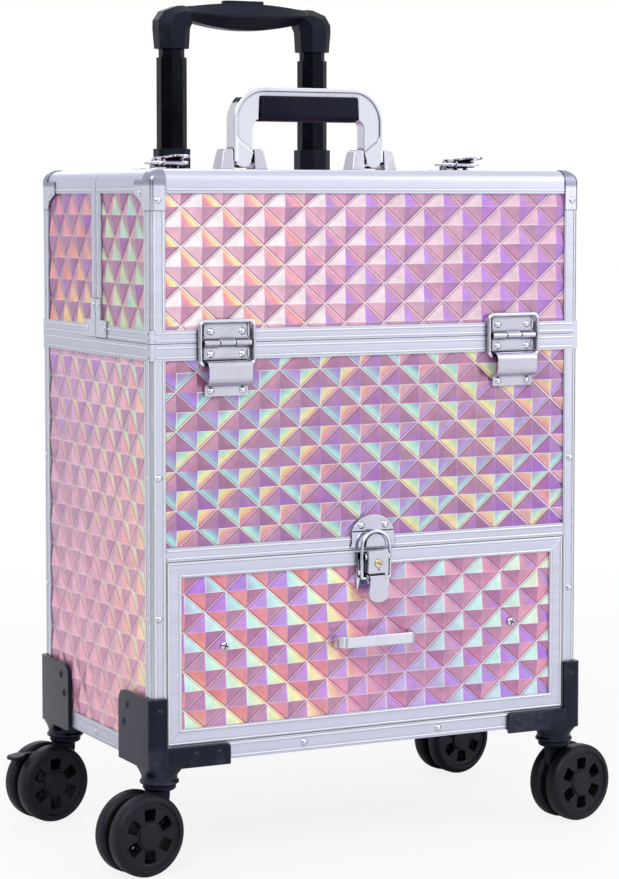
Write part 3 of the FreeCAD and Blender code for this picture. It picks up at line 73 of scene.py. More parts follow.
def linear(red: int, green: int, blue: int) -> Colour:
    """Turn a colour as seen on a screen into the light values that a shader takes.

    Args:
        red: Red, 0 to 255.
        green: Green, 0 to 255.
        blue: Blue, 0 to 255.

    Returns:
        The colour with an alpha of 1.
    """
    def channel(value: int) -> float:
        """One channel of the colour."""
        share = value / 255.0
        return share / 12.92 if share <= 0.04045 else ((share + 0.055) / 1.055) ** 2.4

    return channel(red), channel(green), channel(blue), 1.0


def lit(colour: Colour, share: float) -> Colour:
    """A lighter or darker copy of a colour."""
    return tuple(min(1.0, value * share) for value in colour[:3]) + (1.0,)


def put_in_scene(name: str, data: bpy.types.ID) -> bpy.types.Object:
    """Make an object for a mesh, a lamp or a camera and put it in the scene.

    Args:
        name: The object's name.
        data: What it shows.

    Returns:
        The object.
    """
    made = bpy.data.objects.new(name, data)
    bpy.context.scene.collection.objects.link(made)
    return made


# Shader graphs


class Graph:
    """A node tree with short calls for placing and joining nodes."""

    def __init__(self, tree: bpy.types.NodeTree) -> None:
        """Take the tree that the calls work on."""
        self.tree = tree

    def node(self, kind: str, **settings: object) -> Node:
        """Place a node.

        Args:
            kind: The node's type name.
            **settings: Properties to set on it.

        Returns:
            The new node.
        """
        made = self.tree.nodes.new(kind)
        for name, value in settings.items():
            setattr(made, name, value)
        return made

    def feed(self, socket: Socket, value: object) -> None:
        """Join an output to a socket, or set the socket to a plain value.

        Args:
            socket: The socket that is fed.
            value: The output or the plain value.
        """
        if isinstance(value, Socket):
            self.tree.links.new(value, socket)
        else:
            socket.default_value = value

    def filled(self, kind: str, *values: object, **settings: object) -> Node:
        """Place a node and feed its first inputs.

        Args:
            kind: The node's type name.
            *values: What its inputs are fed, in their order.
            **settings: Properties to set on it.

        Returns:
            The new node.
        """
        made = self.node(kind, **settings)
        for socket, value in zip(made.inputs, values):
            self.feed(socket, value)
        return made

    def fit(self, node: Node, **values: object) -> Node:
        """Feed a node's inputs by name.

        Args:
            node: The node.
            **values: What each input is fed, with the spaces in its name written as underscores.

        Returns:
            The node itself.
        """
        for name, value in values.items():
            self.feed(node.inputs[name.replace("_", " ")], value)
        return node

    def maths(self, operation: str, *values: object) -> Socket:
        """Work out a number from sockets or numbers."""
        return self.filled("ShaderNodeMath", *values, operation=operation).outputs[0]

    def blend(self, share: object, first: object, second: object, kind: str = "MIX") -> Socket:
        """Mix two colours.

        Args:
            share: How much of the second colour shows.
            first: The colour underneath.
            second: The colour on top.
            kind: The way they mix.

        Returns:
            The mixed colour's socket.
        """
        made = self.node("ShaderNodeMix", data_type="RGBA", blend_type=kind)
        self.feed(made.inputs["Factor"], share)
        self.feed(made.inputs[6], first)
        self.feed(made.inputs[7], second)
        return made.outputs[2]

    def tint(self, colour: object, mask: Socket, share: float, over: Colour) -> Socket:
        """Lay a colour over another where a mask says, up to a share."""
        return self.blend(self.maths("MULTIPLY", mask, share), colour, over)

    def total(self, start: float, *parts: tuple[Socket, float]) -> Socket:
        """Add shares of some masks to a number.

        Args:
            start: The number.
            *parts: Each mask and the share of it that is added.

        Returns:
            The sum's socket.
        """
        found = start
        for mask, share in parts:
            found = self.maths("ADD", found, self.maths("MULTIPLY", mask, share))
        return found

    def spread(self, value: object, low: float, high: float, to_low: float, to_high: float) -> Socket:
        """Map the range from low to high softly onto another, held at its ends."""
        numbers = (value, low, high, to_low, to_high)
        return self.filled("ShaderNodeMapRange", *numbers, interpolation_type="SMOOTHSTEP").outputs[0]

    def noise(self, place: object, scale: float, detail: float = 2.0, rough: float = 0.5) -> Socket:
        """Clouded noise of a fineness per metre, with so many finer layers of a strength."""
        made = self.fit(self.node("ShaderNodeTexNoise"), Vector=place, Scale=scale, Detail=detail, Roughness=rough)
        return made.outputs["Fac"]

    def ramp(self, value: object, stops: Sequence[tuple[float, tuple[float, ...]]]) -> Socket:
        """A run of colours.

        Args:
            value: Place along the run, 0 to 1.
            stops: Places and their colours.

        Returns:
            The colour's socket.
        """
        made = self.node("ShaderNodeValToRGB")
        elements = made.color_ramp.elements
        while len(elements) < len(stops):
            elements.new(1.0)
        for element, (place, colour) in zip(elements, stops):
            element.position = place
            element.color = colour
        self.feed(made.inputs["Fac"], value)
        return made.outputs["Color"]

    def bump(self, height: object, strength: float, depth_mm: float, normal: object = None) -> Socket:
        """Turn a height into a tilted normal.

        Args:
            height: The height's socket.
            strength: How strongly it shows.
            depth_mm: The depth that a height of 1 stands for.
            normal: The normal underneath.

        Returns:
            The normal's socket.
        """
        made = self.fit(self.node("ShaderNodeBump"), Strength=strength, Distance=depth_mm * MM, Height=height)
        if normal is not None:
            self.fit(made, Normal=normal)
        return made.outputs["Normal"]

    def own_place(self) -> Socket:
        """Coordinates that stay with the piece."""
        return self.node("ShaderNodeTexCoord").outputs["Object"]

    def place(self, group: bpy.types.NodeTree, **values: object) -> Outputs:
        """Place a shared effect, feed its inputs by name and give its outputs."""
        return self.fit(self.node("ShaderNodeGroup", node_tree=group), **values).outputs


class Effects:
    """Effects that several finishes share, each a node group that is made once."""

    FLOAT = "NodeSocketFloat"
    VECTOR = "NodeSocketVector"

    @classmethod
    def _open(cls, name: str, inputs: dict[str, str], outputs: dict[str, str]) -> tuple[Graph, dict, dict] | None:
        """Start a group unless it is there already.

        Args:
            name: The group's name.
            inputs: Input names and socket types.
            outputs: Output names and socket types.

        Returns:
            The graph, its input sockets and its output sockets, or None.
        """
        if name in bpy.data.node_groups:
            return None
        tree = bpy.data.node_groups.new(name, "ShaderNodeTree")
        for way, sockets in (("INPUT", inputs), ("OUTPUT", outputs)):
            for label, kind in sockets.items():
                tree.interface.new_socket(name=label, in_out=way, socket_type=kind)
        graph = Graph(tree)
        given = {socket.name: socket for socket in graph.node("NodeGroupInput").outputs}
        return graph, given, {socket.name: socket for socket in graph.node("NodeGroupOutput").inputs}

    @classmethod
    def soft_edges(cls) -> bpy.types.NodeTree:
        """Rounded arrises, their mask for painted highlight and wear, and an occlusion mask for painted shade in nooks
        by other pieces.

        Returns:
            The node group.
        """
        opened = cls._open("soft_edges", {"Radius": cls.FLOAT, "Nook Reach": cls.FLOAT},
                           {"Normal": cls.VECTOR, "Edge": cls.FLOAT, "Nook": cls.FLOAT})
        if opened:
            graph, given, out = opened
            soft = graph.filled("ShaderNodeBevel", given["Radius"], samples=4).outputs["Normal"]
            flat = graph.node("ShaderNodeNewGeometry").outputs["True Normal"]
            likeness = graph.filled("ShaderNodeVectorMath", soft, flat, operation="DOT_PRODUCT")
            graph.feed(out["Normal"], soft)
            # Edge mask: the finishes paint a highlight along the arrises with it, on mouldings together with edge
            # wear.
            graph.feed(out["Edge"], graph.spread(likeness.outputs["Value"], 0.99, 0.8, 0.0, 1.0))
            # Ambient occlusion of the nooks beside other pieces: the finishes paint shade into them with this mask.
            nook_shade = graph.fit(graph.node("ShaderNodeAmbientOcclusion", samples=6), Distance=given["Nook Reach"])
            graph.feed(out["Nook"], graph.spread(nook_shade.outputs["AO"], 0.97, 0.5, 0.0, 1.0))
        return bpy.data.node_groups["soft_edges"]

    @classmethod
    def drawn_lines(cls) -> bpy.types.NodeTree:
        """Fine lines left along a drawn or brushed metal section.

        Returns:
            The node group.
        """
        opened = cls._open("drawn_lines", {"Place": cls.VECTOR, "Stretch": cls.VECTOR},
                           {"Height": cls.FLOAT, "Shade": cls.FLOAT})
        if opened:
            graph, given, out = opened
            pulled = graph.filled("ShaderNodeVectorMath", given["Place"], given["Stretch"], operation="MULTIPLY")
            fine = graph.noise(pulled.outputs[0], 1.0, 4.0, 0.7)
            broad = graph.noise(pulled.outputs[0], 0.13, 2.0, 0.5)
            graph.feed(out["Height"], fine)
            graph.feed(out["Shade"], graph.spread(graph.total(0.0, (fine, 0.5), (broad, 0.5)), 0.3, 0.7, 0.0, 1.0))
        return bpy.data.node_groups["drawn_lines"]

    @classmethod
    def smudges(cls) -> bpy.types.NodeTree:
        """Faint handling marks in soft patches, with finer wipes inside them.

        Returns:
            The node group.
        """
        opened = cls._open("smudges", {"Place": cls.VECTOR, "Scale": cls.FLOAT}, {"Mask": cls.FLOAT})
        if opened:
            graph, given, out = opened
            patches = graph.noise(given["Place"], given["Scale"], 3.0, 0.55)
            wipes = graph.noise(given["Place"], graph.maths("MULTIPLY", given["Scale"], 7.0), 4.0, 0.6)
            total = graph.maths("MULTIPLY", graph.spread(patches, 0.42, 0.66, 0.0, 1.0), wipes)
            graph.feed(out["Mask"], graph.spread(total, 0.1, 0.65, 0.0, 1.0))
        return bpy.data.node_groups["smudges"]

    @classmethod
    def moulded_grain(cls) -> bpy.types.NodeTree:
        """The fine pebbled grain of moulded plastic or powder coating.

        Returns:
            The node group.
        """
        opened = cls._open("moulded_grain", {"Place": cls.VECTOR, "Scale": cls.FLOAT}, {"Height": cls.FLOAT})
        if opened:
            graph, given, out = opened
            cells = graph.node("ShaderNodeTexVoronoi", feature="SMOOTH_F1")
            graph.fit(cells, Vector=given["Place"], Scale=given["Scale"])
            speckle = graph.noise(given["Place"], graph.maths("MULTIPLY", given["Scale"], 1.7), 2.0, 0.6)
            graph.feed(out["Height"], graph.maths("ADD", cells.outputs["Distance"], speckle))
        return bpy.data.node_groups["moulded_grain"]


# Finishes


def new_material(name: str) -> tuple[bpy.types.Material, Graph, Node]:
    """Start a material.

    Args:
        name: Its name.

    Returns:
        The material, its graph and its shader.
    """
    made = bpy.data.materials.new(name)
    made.use_nodes = True
    return made, Graph(made.node_tree), made.node_tree.nodes["Principled BSDF"]


class Grain(Enum):
    """Way in which a metal section was drawn, as noise lines per metre along x, y and z."""

    LEVEL = (7.0, 7.0, 1500.0)
    UPRIGHT = (1500.0, 1500.0, 7.0)


@dataclass(frozen=True)
class Finish:
    """A surface finish whose material is made once and then shared."""

    name: str

    def material(self) -> bpy.types.Material:
        """Give the finish's material, making it the first time.

        Returns:
            The material.
        """
        if self.name in bpy.data.materials:
            return bpy.data.materials[self.name]
        made, graph, shader = new_material(self.name)
        self.paint(graph, shader)
        return made

    def paint(self, graph: Graph, shader: Node) -> None:
        """Lay the finish's nodes."""
        raise NotImplementedError


@dataclass(frozen=True)
class SatinMetal(Finish):
    """Drawn metal: fine lines, faint smudges, a painted highlight on the arrises and painted shade in the nooks."""

    grain: Grain = Grain.LEVEL
    tone: Rgb = (216, 219, 238)
    roughness: float = 0.36
    line_depth: float = 0.012
    edge_mm: float = 0.5
    # Colour of the painted shade in the nooks.
    nook_shade: Rgb = (78, 81, 100)
    # Share of the height above which the top takes a painted dark reflection; 1 leaves it out.
    crown: float = 1.0
    crown_reflection_tone: Rgb = (112, 118, 142)

    dimmed: ClassVar[float] = 0.86
    highlight_lift: ClassVar[float] = 1.12
    smudge_share: ClassVar[float] = 0.18
    edge_share: ClassVar[float] = 0.6
    nook_shade_share: ClassVar[float] = 0.85
    crown_reflection_share: ClassVar[float] = 0.7
    crown_blend: ClassVar[float] = 0.02
    mark_scale: ClassVar[float] = 9.0
    nook_mm: ClassVar[float] = 2.0
    rough_spread: ClassVar[float] = 0.1
    metal: ClassVar[float] = 0.85

    def paint(self, graph: Graph, shader: Node) -> None:
        """Lay the drawn lines, smudges, a painted arris highlight, painted shade in nooks and a painted dark
        reflection on the crown.

        Args:
            graph: The material's graph.
            shader: Its shader.
        """
        place = graph.own_place()
        lines = graph.place(Effects.drawn_lines(), Place=place, Stretch=self.grain.value)
        marks = graph.place(Effects.smudges(), Place=place, Scale=self.mark_scale)
        edges = graph.place(Effects.soft_edges(), Radius=self.edge_mm * MM, Nook_Reach=self.nook_mm * MM)
        base = linear(*self.tone)
        dim = lit(base, self.dimmed)
        colour = graph.blend(lines["Shade"], dim, base)
        colour = graph.tint(colour, marks["Mask"], self.smudge_share, dim)
        # Painted highlight: the arrises turn to a lit copy of the tone.
        colour = graph.tint(colour, edges["Edge"], self.edge_share, lit(base, self.highlight_lift))
        # Painted shade: the nooks turn grey.
        colour = graph.tint(colour, edges["Nook"], self.nook_shade_share, linear(*self.nook_shade))
        # Painted dark reflection laid over the rounded top of the corner fittings.
        if self.crown < 1.0:
            height = graph.filled("ShaderNodeSeparateXYZ", graph.node("ShaderNodeTexCoord").outputs["Generated"])
            top = graph.spread(height.outputs["Z"], self.crown, self.crown + self.crown_blend, 0.0, self.crown_reflection_share)
            colour = graph.blend(top, colour, linear(*self.crown_reflection_tone))
        uneven = self.rough_spread
        rough = graph.total(self.roughness - uneven / 2.0, (lines["Shade"], uneven), (marks["Mask"], uneven))
        normal = graph.bump(lines["Height"], 0.5, self.line_depth, edges["Normal"])
        graph.fit(shader, Base_Color=colour, Metallic=self.metal, Roughness=rough, Normal=normal)


@dataclass(frozen=True)
class PolishedMetal(Finish):
    """Plated, polished metal with faint waves, hairlines and finger marks."""

    tone: Rgb = (206, 206, 222)
    roughness: float = 0.06
    edge_mm: float = 0.55
    # Colour of the painted highlight on the arrises.
    rim: Rgb = (252, 252, 255)
    nook_shade: Rgb = (14, 14, 19)

    dulled: ClassVar[float] = 0.82
    smudge_share: ClassVar[float] = 0.5
    edge_share: ClassVar[float] = 0.8
    hairlines: ClassVar[Triple] = (90.0, 1900.0, 900.0)
    mark_scale: ClassVar[float] = 38.0
    nook_mm: ClassVar[float] = 3.0
    mark_roughness: ClassVar[float] = 0.12
    line_roughness: ClassVar[float] = 0.03
    wave_scale: ClassVar[float] = 60.0
    wave_mm: ClassVar[float] = 0.25

    def paint(self, graph: Graph, shader: Node) -> None:
        """Lay the waves, hairlines, marks, a painted white arris highlight and painted black shade and reflection in
        nooks.

        Args:
            graph: The material's graph.
            shader: Its shader.
        """
        place = graph.own_place()
        marks = graph.place(Effects.smudges(), Place=place, Scale=self.mark_scale)
        hairlines = graph.place(Effects.drawn_lines(), Place=place, Stretch=self.hairlines)
        edges = graph.place(Effects.soft_edges(), Radius=self.edge_mm * MM, Nook_Reach=self.nook_mm * MM)
        base = linear(*self.tone)
        colour = graph.tint(base, marks["Mask"], self.smudge_share, lit(base, self.dulled))
        # Painted highlight: the arrises turn near white.
        colour = graph.tint(colour, edges["Edge"], self.edge_share, linear(*self.rim))
        # Painted shade and dark reflection: the nooks turn near black.
        colour = graph.blend(edges["Nook"], colour, linear(*self.nook_shade))
        uneven = ((marks["Mask"], self.mark_roughness), (hairlines["Shade"], self.line_roughness))
        rough = graph.total(self.roughness, *uneven)
        normal = graph.bump(graph.noise(place, self.wave_scale), 0.25, self.wave_mm, edges["Normal"])
        graph.fit(shader, Base_Color=colour, Metallic=1.0, Roughness=rough, Normal=normal)


@dataclass(frozen=True)
class Moulding(Finish):
    """Black moulded plastic or enamel with a fine grain, edges paled by wear and a painted highlight, and painted
    shade in nooks.
    """

    tone: Rgb = (24, 24, 27)
    # Edge colour, partly wear and partly a painted highlight.
    wear_and_highlight: Rgb = (70, 71, 78)
    roughness: float = 0.42
    grain_scale: float = 1300.0
    grain_depth: float = 0.05
    edge_mm: float = 0.6
    coat: float = 0.0
    gloss: float = 0.25
    # Colour of the painted shade in the nooks.
    nook_shade: Rgb = (4, 4, 5)
    sheen: Rgb = (190, 204, 255)

    smudge_share: ClassVar[float] = 0.22
    edge_share: ClassVar[float] = 0.55
    coat_roughness: ClassVar[float] = 0.25
    mark_scale: ClassVar[float] = 26.0
    mark_roughness: ClassVar[float] = 0.18
    nook_mm: ClassVar[float] = 4.0

    def paint(self, graph: Graph, shader: Node) -> None:
        """Lay the grain, the smudges, the edges of wear and painted highlight, and the painted black shade in the
        nooks.

        Args:
            graph: The material's graph.
            shader: Its shader.
        """
        place = graph.own_place()
        grain = graph.place(Effects.moulded_grain(), Place=place, Scale=self.grain_scale)
        marks = graph.place(Effects.smudges(), Place=place, Scale=self.mark_scale)
        edges = graph.place(Effects.soft_edges(), Radius=self.edge_mm * MM, Nook_Reach=self.nook_mm * MM)
        paler_tone = linear(*self.wear_and_highlight)
        colour = graph.tint(linear(*self.tone), marks["Mask"], self.smudge_share, paler_tone)
        # Edges paled partly by wear, partly as a painted highlight.
        colour = graph.tint(colour, edges["Edge"], self.edge_share, paler_tone)
        # Painted shade: the nooks turn black.
        colour = graph.blend(edges["Nook"], colour, linear(*self.nook_shade))
        rough = graph.total(self.roughness, (marks["Mask"], self.mark_roughness))
        normal = graph.bump(grain["Height"], 0.5, self.grain_depth, edges["Normal"])
        graph.fit(shader, Base_Color=colour, Roughness=rough, Normal=normal, Specular_IOR_Level=self.gloss,
                  Specular_Tint=linear(*self.sheen), Coat_Weight=self.coat, Coat_Roughness=self.coat_roughness)


@dataclass(frozen=True)
class Lining(Finish):
    """Black lining cloth: a short nap over a fine weave."""

    tone: Rgb = (30, 29, 33)
    nap: Rgb = (62, 60, 68)
    thread_mm: float = 0.8

    waver: ClassVar[float] = 1.5
    fuzz_scale: ClassVar[float] = 900.0
    mark_scale: ClassVar[float] = 14.0
    mark_share: ClassVar[float] = 0.3
    nap_mm: ClassVar[float] = 0.15

    def paint(self, graph: Graph, shader: Node) -> None:
        """Lay the weave and the nap.

        Args:
            graph: The material's graph.
            shader: Its shader.
        """
        place = graph.own_place()
        threads = graph.node("ShaderNodeTexWave", wave_type="BANDS", bands_direction="DIAGONAL")
        graph.fit(threads, Vector=place, Scale=1.0 / (self.thread_mm * MM * 2.0 * math.pi), Distortion=self.waver)
        fuzz = graph.noise(place, self.fuzz_scale, 4.0, 0.7)
        patches = graph.place(Effects.smudges(), Place=place, Scale=self.mark_scale)
        share = graph.maths("MULTIPLY", fuzz, graph.spread(threads.outputs["Fac"], 0.0, 1.0, 0.4, 1.0))
        colour = graph.blend(share, linear(*self.tone), linear(*self.nap))
        colour = graph.tint(colour, patches["Mask"], self.mark_share, linear(*self.tone))
        rough = graph.spread(fuzz, 0.2, 0.8, 0.75, 0.98)
        normal = graph.bump(graph.maths("ADD", threads.outputs["Fac"], fuzz), 0.6, self.nap_mm)
        graph.fit(shader, Base_Color=colour, Roughness=rough, Normal=normal)


@dataclass(frozen=True)
class PrismFilm(Finish):
    """Pressed prism film: every pyramid face throws its own part of the spectrum."""

    wheel: tuple[tuple[float, Rgb], ...] = (
        (0.00, (182, 122, 166)),
        (0.08, (184, 110, 226)),
        (0.18, (166, 134, 230)),
        (0.27, (158, 166, 208)),
        (0.35, (160, 230, 238)),
        (0.43, (186, 246, 220)),
        (0.51, (228, 246, 182)),
        (0.58, (252, 242, 150)),
        (0.67, (252, 202, 152)),
        (0.77, (238, 142, 142)),
        (0.88, (232, 146, 184)),
        (1.00, (182, 122, 166)),
    )
    # Colour of the painted pale highlight.
    pale: Rgb = (255, 244, 249)
    glint: Rgb = (255, 248, 251)
    # Colour of the painted shade beside the valleys.
    crease: Rgb = (112, 66, 108)

    drift: ClassVar[float] = 0.09
    line_widths: ClassVar[Triple] = (0.06, 0.055, 0.055)
    metal: ClassVar[float] = 0.2
    coat: ClassVar[float] = 0.3
    coat_roughness: ClassVar[float] = 0.1

    def paint(self, graph: Graph, shader: Node) -> None:
        """Lay the spectrum, the painted pale highlight, painted shade beside the creases and the painted glints on the
        ridges.

        Args:
            graph: The material's graph.
            shader: Its shader.
        """
        place = graph.own_place()
        tone = self._parts(graph, "film_tone")
        glint = self._parts(graph, "film_glint")
        crease = self._parts(graph, "facet_place")
        drift = graph.maths("MULTIPLY", graph.maths("SUBTRACT", graph.noise(place, 40.0), 0.5), self.drift)
        phase = graph.maths("FRACT", graph.maths("ADD", tone[0], drift))
        colour = graph.ramp(phase, [(spot, linear(*shade)) for spot, shade in self.wheel])
        # Painted highlight: faces turn pale by the share kept in film_tone.
        colour = graph.blend(tone[1], colour, linear(*self.pale))
        sheen = graph.spread(graph.noise(place, 110.0), 0.3, 0.7, 0.92, 1.08)
        # Painted shade and light per face corner from film_tone, with a faint random change.
        level = graph.filled("ShaderNodeCombineColor", *[graph.maths("MULTIPLY", tone[2], sheen)] * 3)
        colour = graph.blend(1.0, colour, level.outputs[0], "MULTIPLY")
        # Painted shade: a dark line laid beside each valley.
        seam = graph.maths("MULTIPLY", graph.spread(crease[0], 0.03, 0.07, 0.0, 1.0),
                           graph.spread(crease[0], 0.08, 0.15, 0.6, 0.0))
        colour = graph.blend(seam, colour, linear(*self.crease))
        lines = None
        for distance, strength, width in zip(crease, glint, self.line_widths):
            line = graph.maths("MULTIPLY", graph.spread(distance, 0.2 * width, width, 1.0, 0.0), strength)
            lines = line if lines is None else graph.maths("MAXIMUM", lines, line)
        colour = graph.blend(graph.maths("MINIMUM", lines, 1.0), colour, linear(*self.glint))
        rough = graph.spread(graph.noise(place, 150.0), 0.3, 0.7, 0.16, 0.28)
        valley = graph.spread(crease[0], 0.0, 0.16, 0.0, 1.0)
        normal = graph.bump(graph.total(0.0, (valley, 0.8), (graph.noise(place, 260.0), 0.06)), 0.35, 0.4)
        graph.fit(shader, Base_Color=colour, Metallic=self.metal, Roughness=rough, Normal=normal,
                  Coat_Weight=self.coat, Coat_Roughness=self.coat_roughness)

    @staticmethod
    def _parts(graph: Graph, name: str) -> tuple[Socket, ...]:
        """Read the three values that the mesh keeps under a name."""
        stored = graph.node("ShaderNodeAttribute", attribute_name=name).outputs["Vector"]
        return tuple(graph.filled("ShaderNodeSeparateXYZ", stored).outputs)


ALUMINIUM_LEVEL = SatinMetal("satin_aluminium_level", Grain.LEVEL)
ALUMINIUM_UPRIGHT = SatinMetal("satin_aluminium_upright", Grain.UPRIGHT)
# The beads' lips: the frame's aluminium in a lighter tone, a painted highlight along the raised lines.
LIP_HIGHLIGHT_LEVEL = SatinMetal("lip_highlight_level", Grain.LEVEL, (236, 238, 248), 0.3, edge_mm=0.2)
LIP_HIGHLIGHT_UPRIGHT = SatinMetal("lip_highlight_upright", Grain.UPRIGHT, (246, 247, 252), 0.28, edge_mm=0.2)
# Its rounded tops take the painted dark reflection.
CORNER_METAL = SatinMetal("corner_fitting_metal", Grain.UPRIGHT, (222, 224, 240), 0.28, crown=0.89)
CHROME = PolishedMetal("polished_chrome", (226, 229, 241))
PLATED = PolishedMetal("plated_sheet", (208, 208, 224))
ZINC = SatinMetal("zinc_steel_dull", Grain.LEVEL, (170, 172, 178), 0.4)
BRASS = PolishedMetal("lock_brass", (228, 210, 170), 0.16, 0.2, (252, 238, 206))
PLASTIC = Moulding("black_moulded_plastic", (12, 13, 18), (52, 56, 68), 0.42, gloss=0.28)
ENAMEL = Moulding("bracket_enamel", (11, 12, 20), (96, 99, 118), 0.26, 900.0, 0.035, 0.8, 0.1, 0.33)
SCREW_BLACK = Moulding("screw_black", (14, 14, 18), (78, 80, 92), 0.3, 1500.0, 0.03, 0.5, 0.3, 0.3)
TUBE_BLACK = Moulding("trolley_tube_black", (4, 4, 7), (34, 35, 46), 0.3, 2600.0, 0.012, 0.5, 0.05, 0.12)
WHEEL = Moulding("wheel_tread_plastic", (10, 10, 13), (48, 49, 58), 0.46, 1000.0, 0.05, 0.6, 0.0, 0.36,
                 sheen=(226, 229, 255))
LINING = Lining("black_lining")
FILM = PrismFilm("prism_film")
GRIP = Moulding("carry_grip_black", (22, 20, 31), (58, 55, 72), 0.45, 1600.0, 0.04, 0.8, 0.0, 0.2)


def dress(finish: Finish, *nodes: str) -> None:
    """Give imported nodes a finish.

    Args:
        finish: The finish.
        *nodes: Names of the nodes.
    """
    for name in nodes:
        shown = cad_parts[name]
        if not shown.material_slots:
            shown.data.materials.append(finish.material())
        for place in shown.material_slots:
            place.material = finish.material()
        LOG.info("dressed %s in %s", name, finish.name)


# Mesh drafting


@dataclass
class Draft:
    """A mesh being drawn up, in millimetres."""

    points: list[Vector] = field(default_factory=list)
    faces: list[list[int]] = field(default_factory=list)

    def add(self, points: Iterable[Sequence[float]], faces: Iterable[Sequence[int]]) -> "Draft":
        """Add points and the faces that join them.

        Args:
            points: New points.
            faces: Faces, counted from the first new point.

        Returns:
            The draft itself.
        """
        start = len(self.points)
        self.points += [Vector(point) for point in points]
        self.faces += [[start + corner for corner in face] for face in faces]
        return self

    def join(self, other: "Draft") -> "Draft":
        """Add another draft's mesh."""
        return self.add(other.points, other.faces)

    def moved(self, matrix: Matrix) -> "Draft":
        """A copy placed by a matrix."""
        return Draft([matrix @ point for point in self.points], [list(face) for face in self.faces])

    def twice(self, apart: float, y: float = 0.0, z: float = 0.0) -> "Draft":
        """Copies on the left and on the right.

        Args:
            apart: Each copy's distance from the middle.
            y: How far they move along y.
            z: How far they move up.

        Returns:
            A draft of both.
        """
        both = Draft()
        for side in SIDES:
            both.join(self.moved(Matrix.Translation((side * apart, y, z))))
        return both


def loft(rings: Sequence[Sequence[Sequence[float]]], closed: bool = False) -> Draft:
    """Skin a row of rings that have the same number of points.

    Args:
        rings: The rings in order.
        closed: Whether the last ring joins the first, which leaves no ends to cap.

    Returns:
        The skinned draft.
    """
    count = len(rings[0])
    points = [point for ring in rings for point in ring]
    faces = []
    pairs = len(rings) if closed else len(rings) - 1
    for row in range(pairs):
        first, second = row * count, ((row + 1) % len(rings)) * count
        for spot in range(count):
            after = (spot + 1) % count
            faces.append([first + spot, first + after, second + after, second + spot])
    if not closed:
        faces.append(list(reversed(range(count))))
        faces.append([pairs * count + spot for spot in range(count)])
    return Draft().add(points, faces)


def prism(outline: Outline, low: float, high: float, place: Callable[[float, float, float], Triple]) -> Draft:
    """Draw a flat outline out from one depth to another. place turns a point and a depth into a spot."""
    return loft([[place(a, b, depth) for a, b in outline] for depth in (low, high)])


def arc(centre: Pair, radius: float, start: float, end: float, steps: int) -> list[Pair]:
    """Points of an arc between two angles in degrees, both ends included."""
    turns = [math.radians(start + (end - start) * step / steps) for step in range(steps + 1)]
    return [(centre[0] + radius * math.cos(turn), centre[1] + radius * math.sin(turn)) for turn in turns]


def polar(radius: float, turn: float) -> Pair:
    """The point at an angle, in degrees, on a circle about the origin."""
    return arc(ORIGIN[:2], radius, turn, turn, 1)[0]


def rounded(low: Pair, high: Pair, radius: float, steps: int = 4) -> list[Pair]:
    """Outline of a rectangle with rounded corners, each of so many chords.

    Returns:
        The points.
    """
    spots = ((high[0] - radius, high[1] - radius), (low[0] + radius, high[1] - radius),
             (low[0] + radius, low[1] + radius), (high[0] - radius, low[1] + radius))
    return [point for turn, spot in enumerate(spots)
            for point in arc(spot, radius, 90.0 * turn, 90.0 * turn + 90.0, steps)]


def oblong(low: Pair, high: Pair) -> list[Pair]:
    """Outline of a rectangle from two of its corners."""
    return [low, (high[0], low[1]), high, (low[0], high[1])]


def mirrored(outline: Outline) -> list[Pair]:
    """An outline's mirror image, run the other way."""
    return [(-a, b) for a, b in reversed(outline)]


def pin(radius: float, low: float, high: float, chamfer: float) -> list[Pair]:
    """Profile of a round bar with broken edges, as radius and height pairs for lathe."""
    slim = radius - chamfer
    return [(slim, low), (radius, low + chamfer), (radius, high - chamfer), (slim, high)]


def on_plan(a: float, b: float, depth: float) -> Triple:
    """A place from a point on a plan and a height."""
    return a, b, depth


def on_front(a: float, b: float, depth: float) -> Triple:
    """A place from a point on a front view and a place in y."""
    return a, depth, b


def on_side(a: float, b: float, depth: float) -> Triple:
    """A place from a point on a side view and a place in x."""
    return depth, a, b


def lathe(profile: Outline, centre: Sequence[float], axis: Vector, steps: int = 48) -> Draft:
    """Turn a profile about an axis.

    Args:
        profile: Radius and height pairs. Radii are above zero.
        centre: The point on the axis at height zero.
        axis: The axis.
        steps: How many steps one turn has.

    Returns:
        The turned solid, closed at its ends.
    """
    aim = axis.normalized()
    side = aim.orthogonal().normalized()
    other = aim.cross(side)
    base = Vector(centre)
    rings = []
    for radius, height in profile:
        ring = []
        for step in range(steps):
            turn = 2.0 * math.pi * step / steps
            ring.append(base + aim * height + (side * math.cos(turn) + other * math.sin(turn)) * radius)
        rings.append(ring)
    return loft(rings)


def wire(path: Sequence[Sequence[float]], radius: float, sides: int = 14, closed: bool = False) -> Draft:
    """A round wire along a path.

    Args:
        path: The points of its middle line.
        radius: The wire's radius.
        sides: How many sides its section has.
        closed: Whether the wire is a ring.

    Returns:
        The wire's draft.
    """
    line = [Vector(point) for point in path]
    count = len(line)
    rings = []
    side = None
    for spot, point in enumerate(line):
        ahead = line[(spot + 1) % count] if closed or spot + 1 < count else point
        behind = line[spot - 1] if closed or spot > 0 else point
        aim = (ahead - behind).normalized()
        side = aim.orthogonal() if side is None else side - aim * side.dot(aim)
        side.normalize()
        other = aim.cross(side)
        turns = [2.0 * math.pi * step / sides for step in range(sides)]
        rings.append([point + (side * math.cos(turn) + other * math.sin(turn)) * radius for turn in turns])
    return loft(rings, closed)


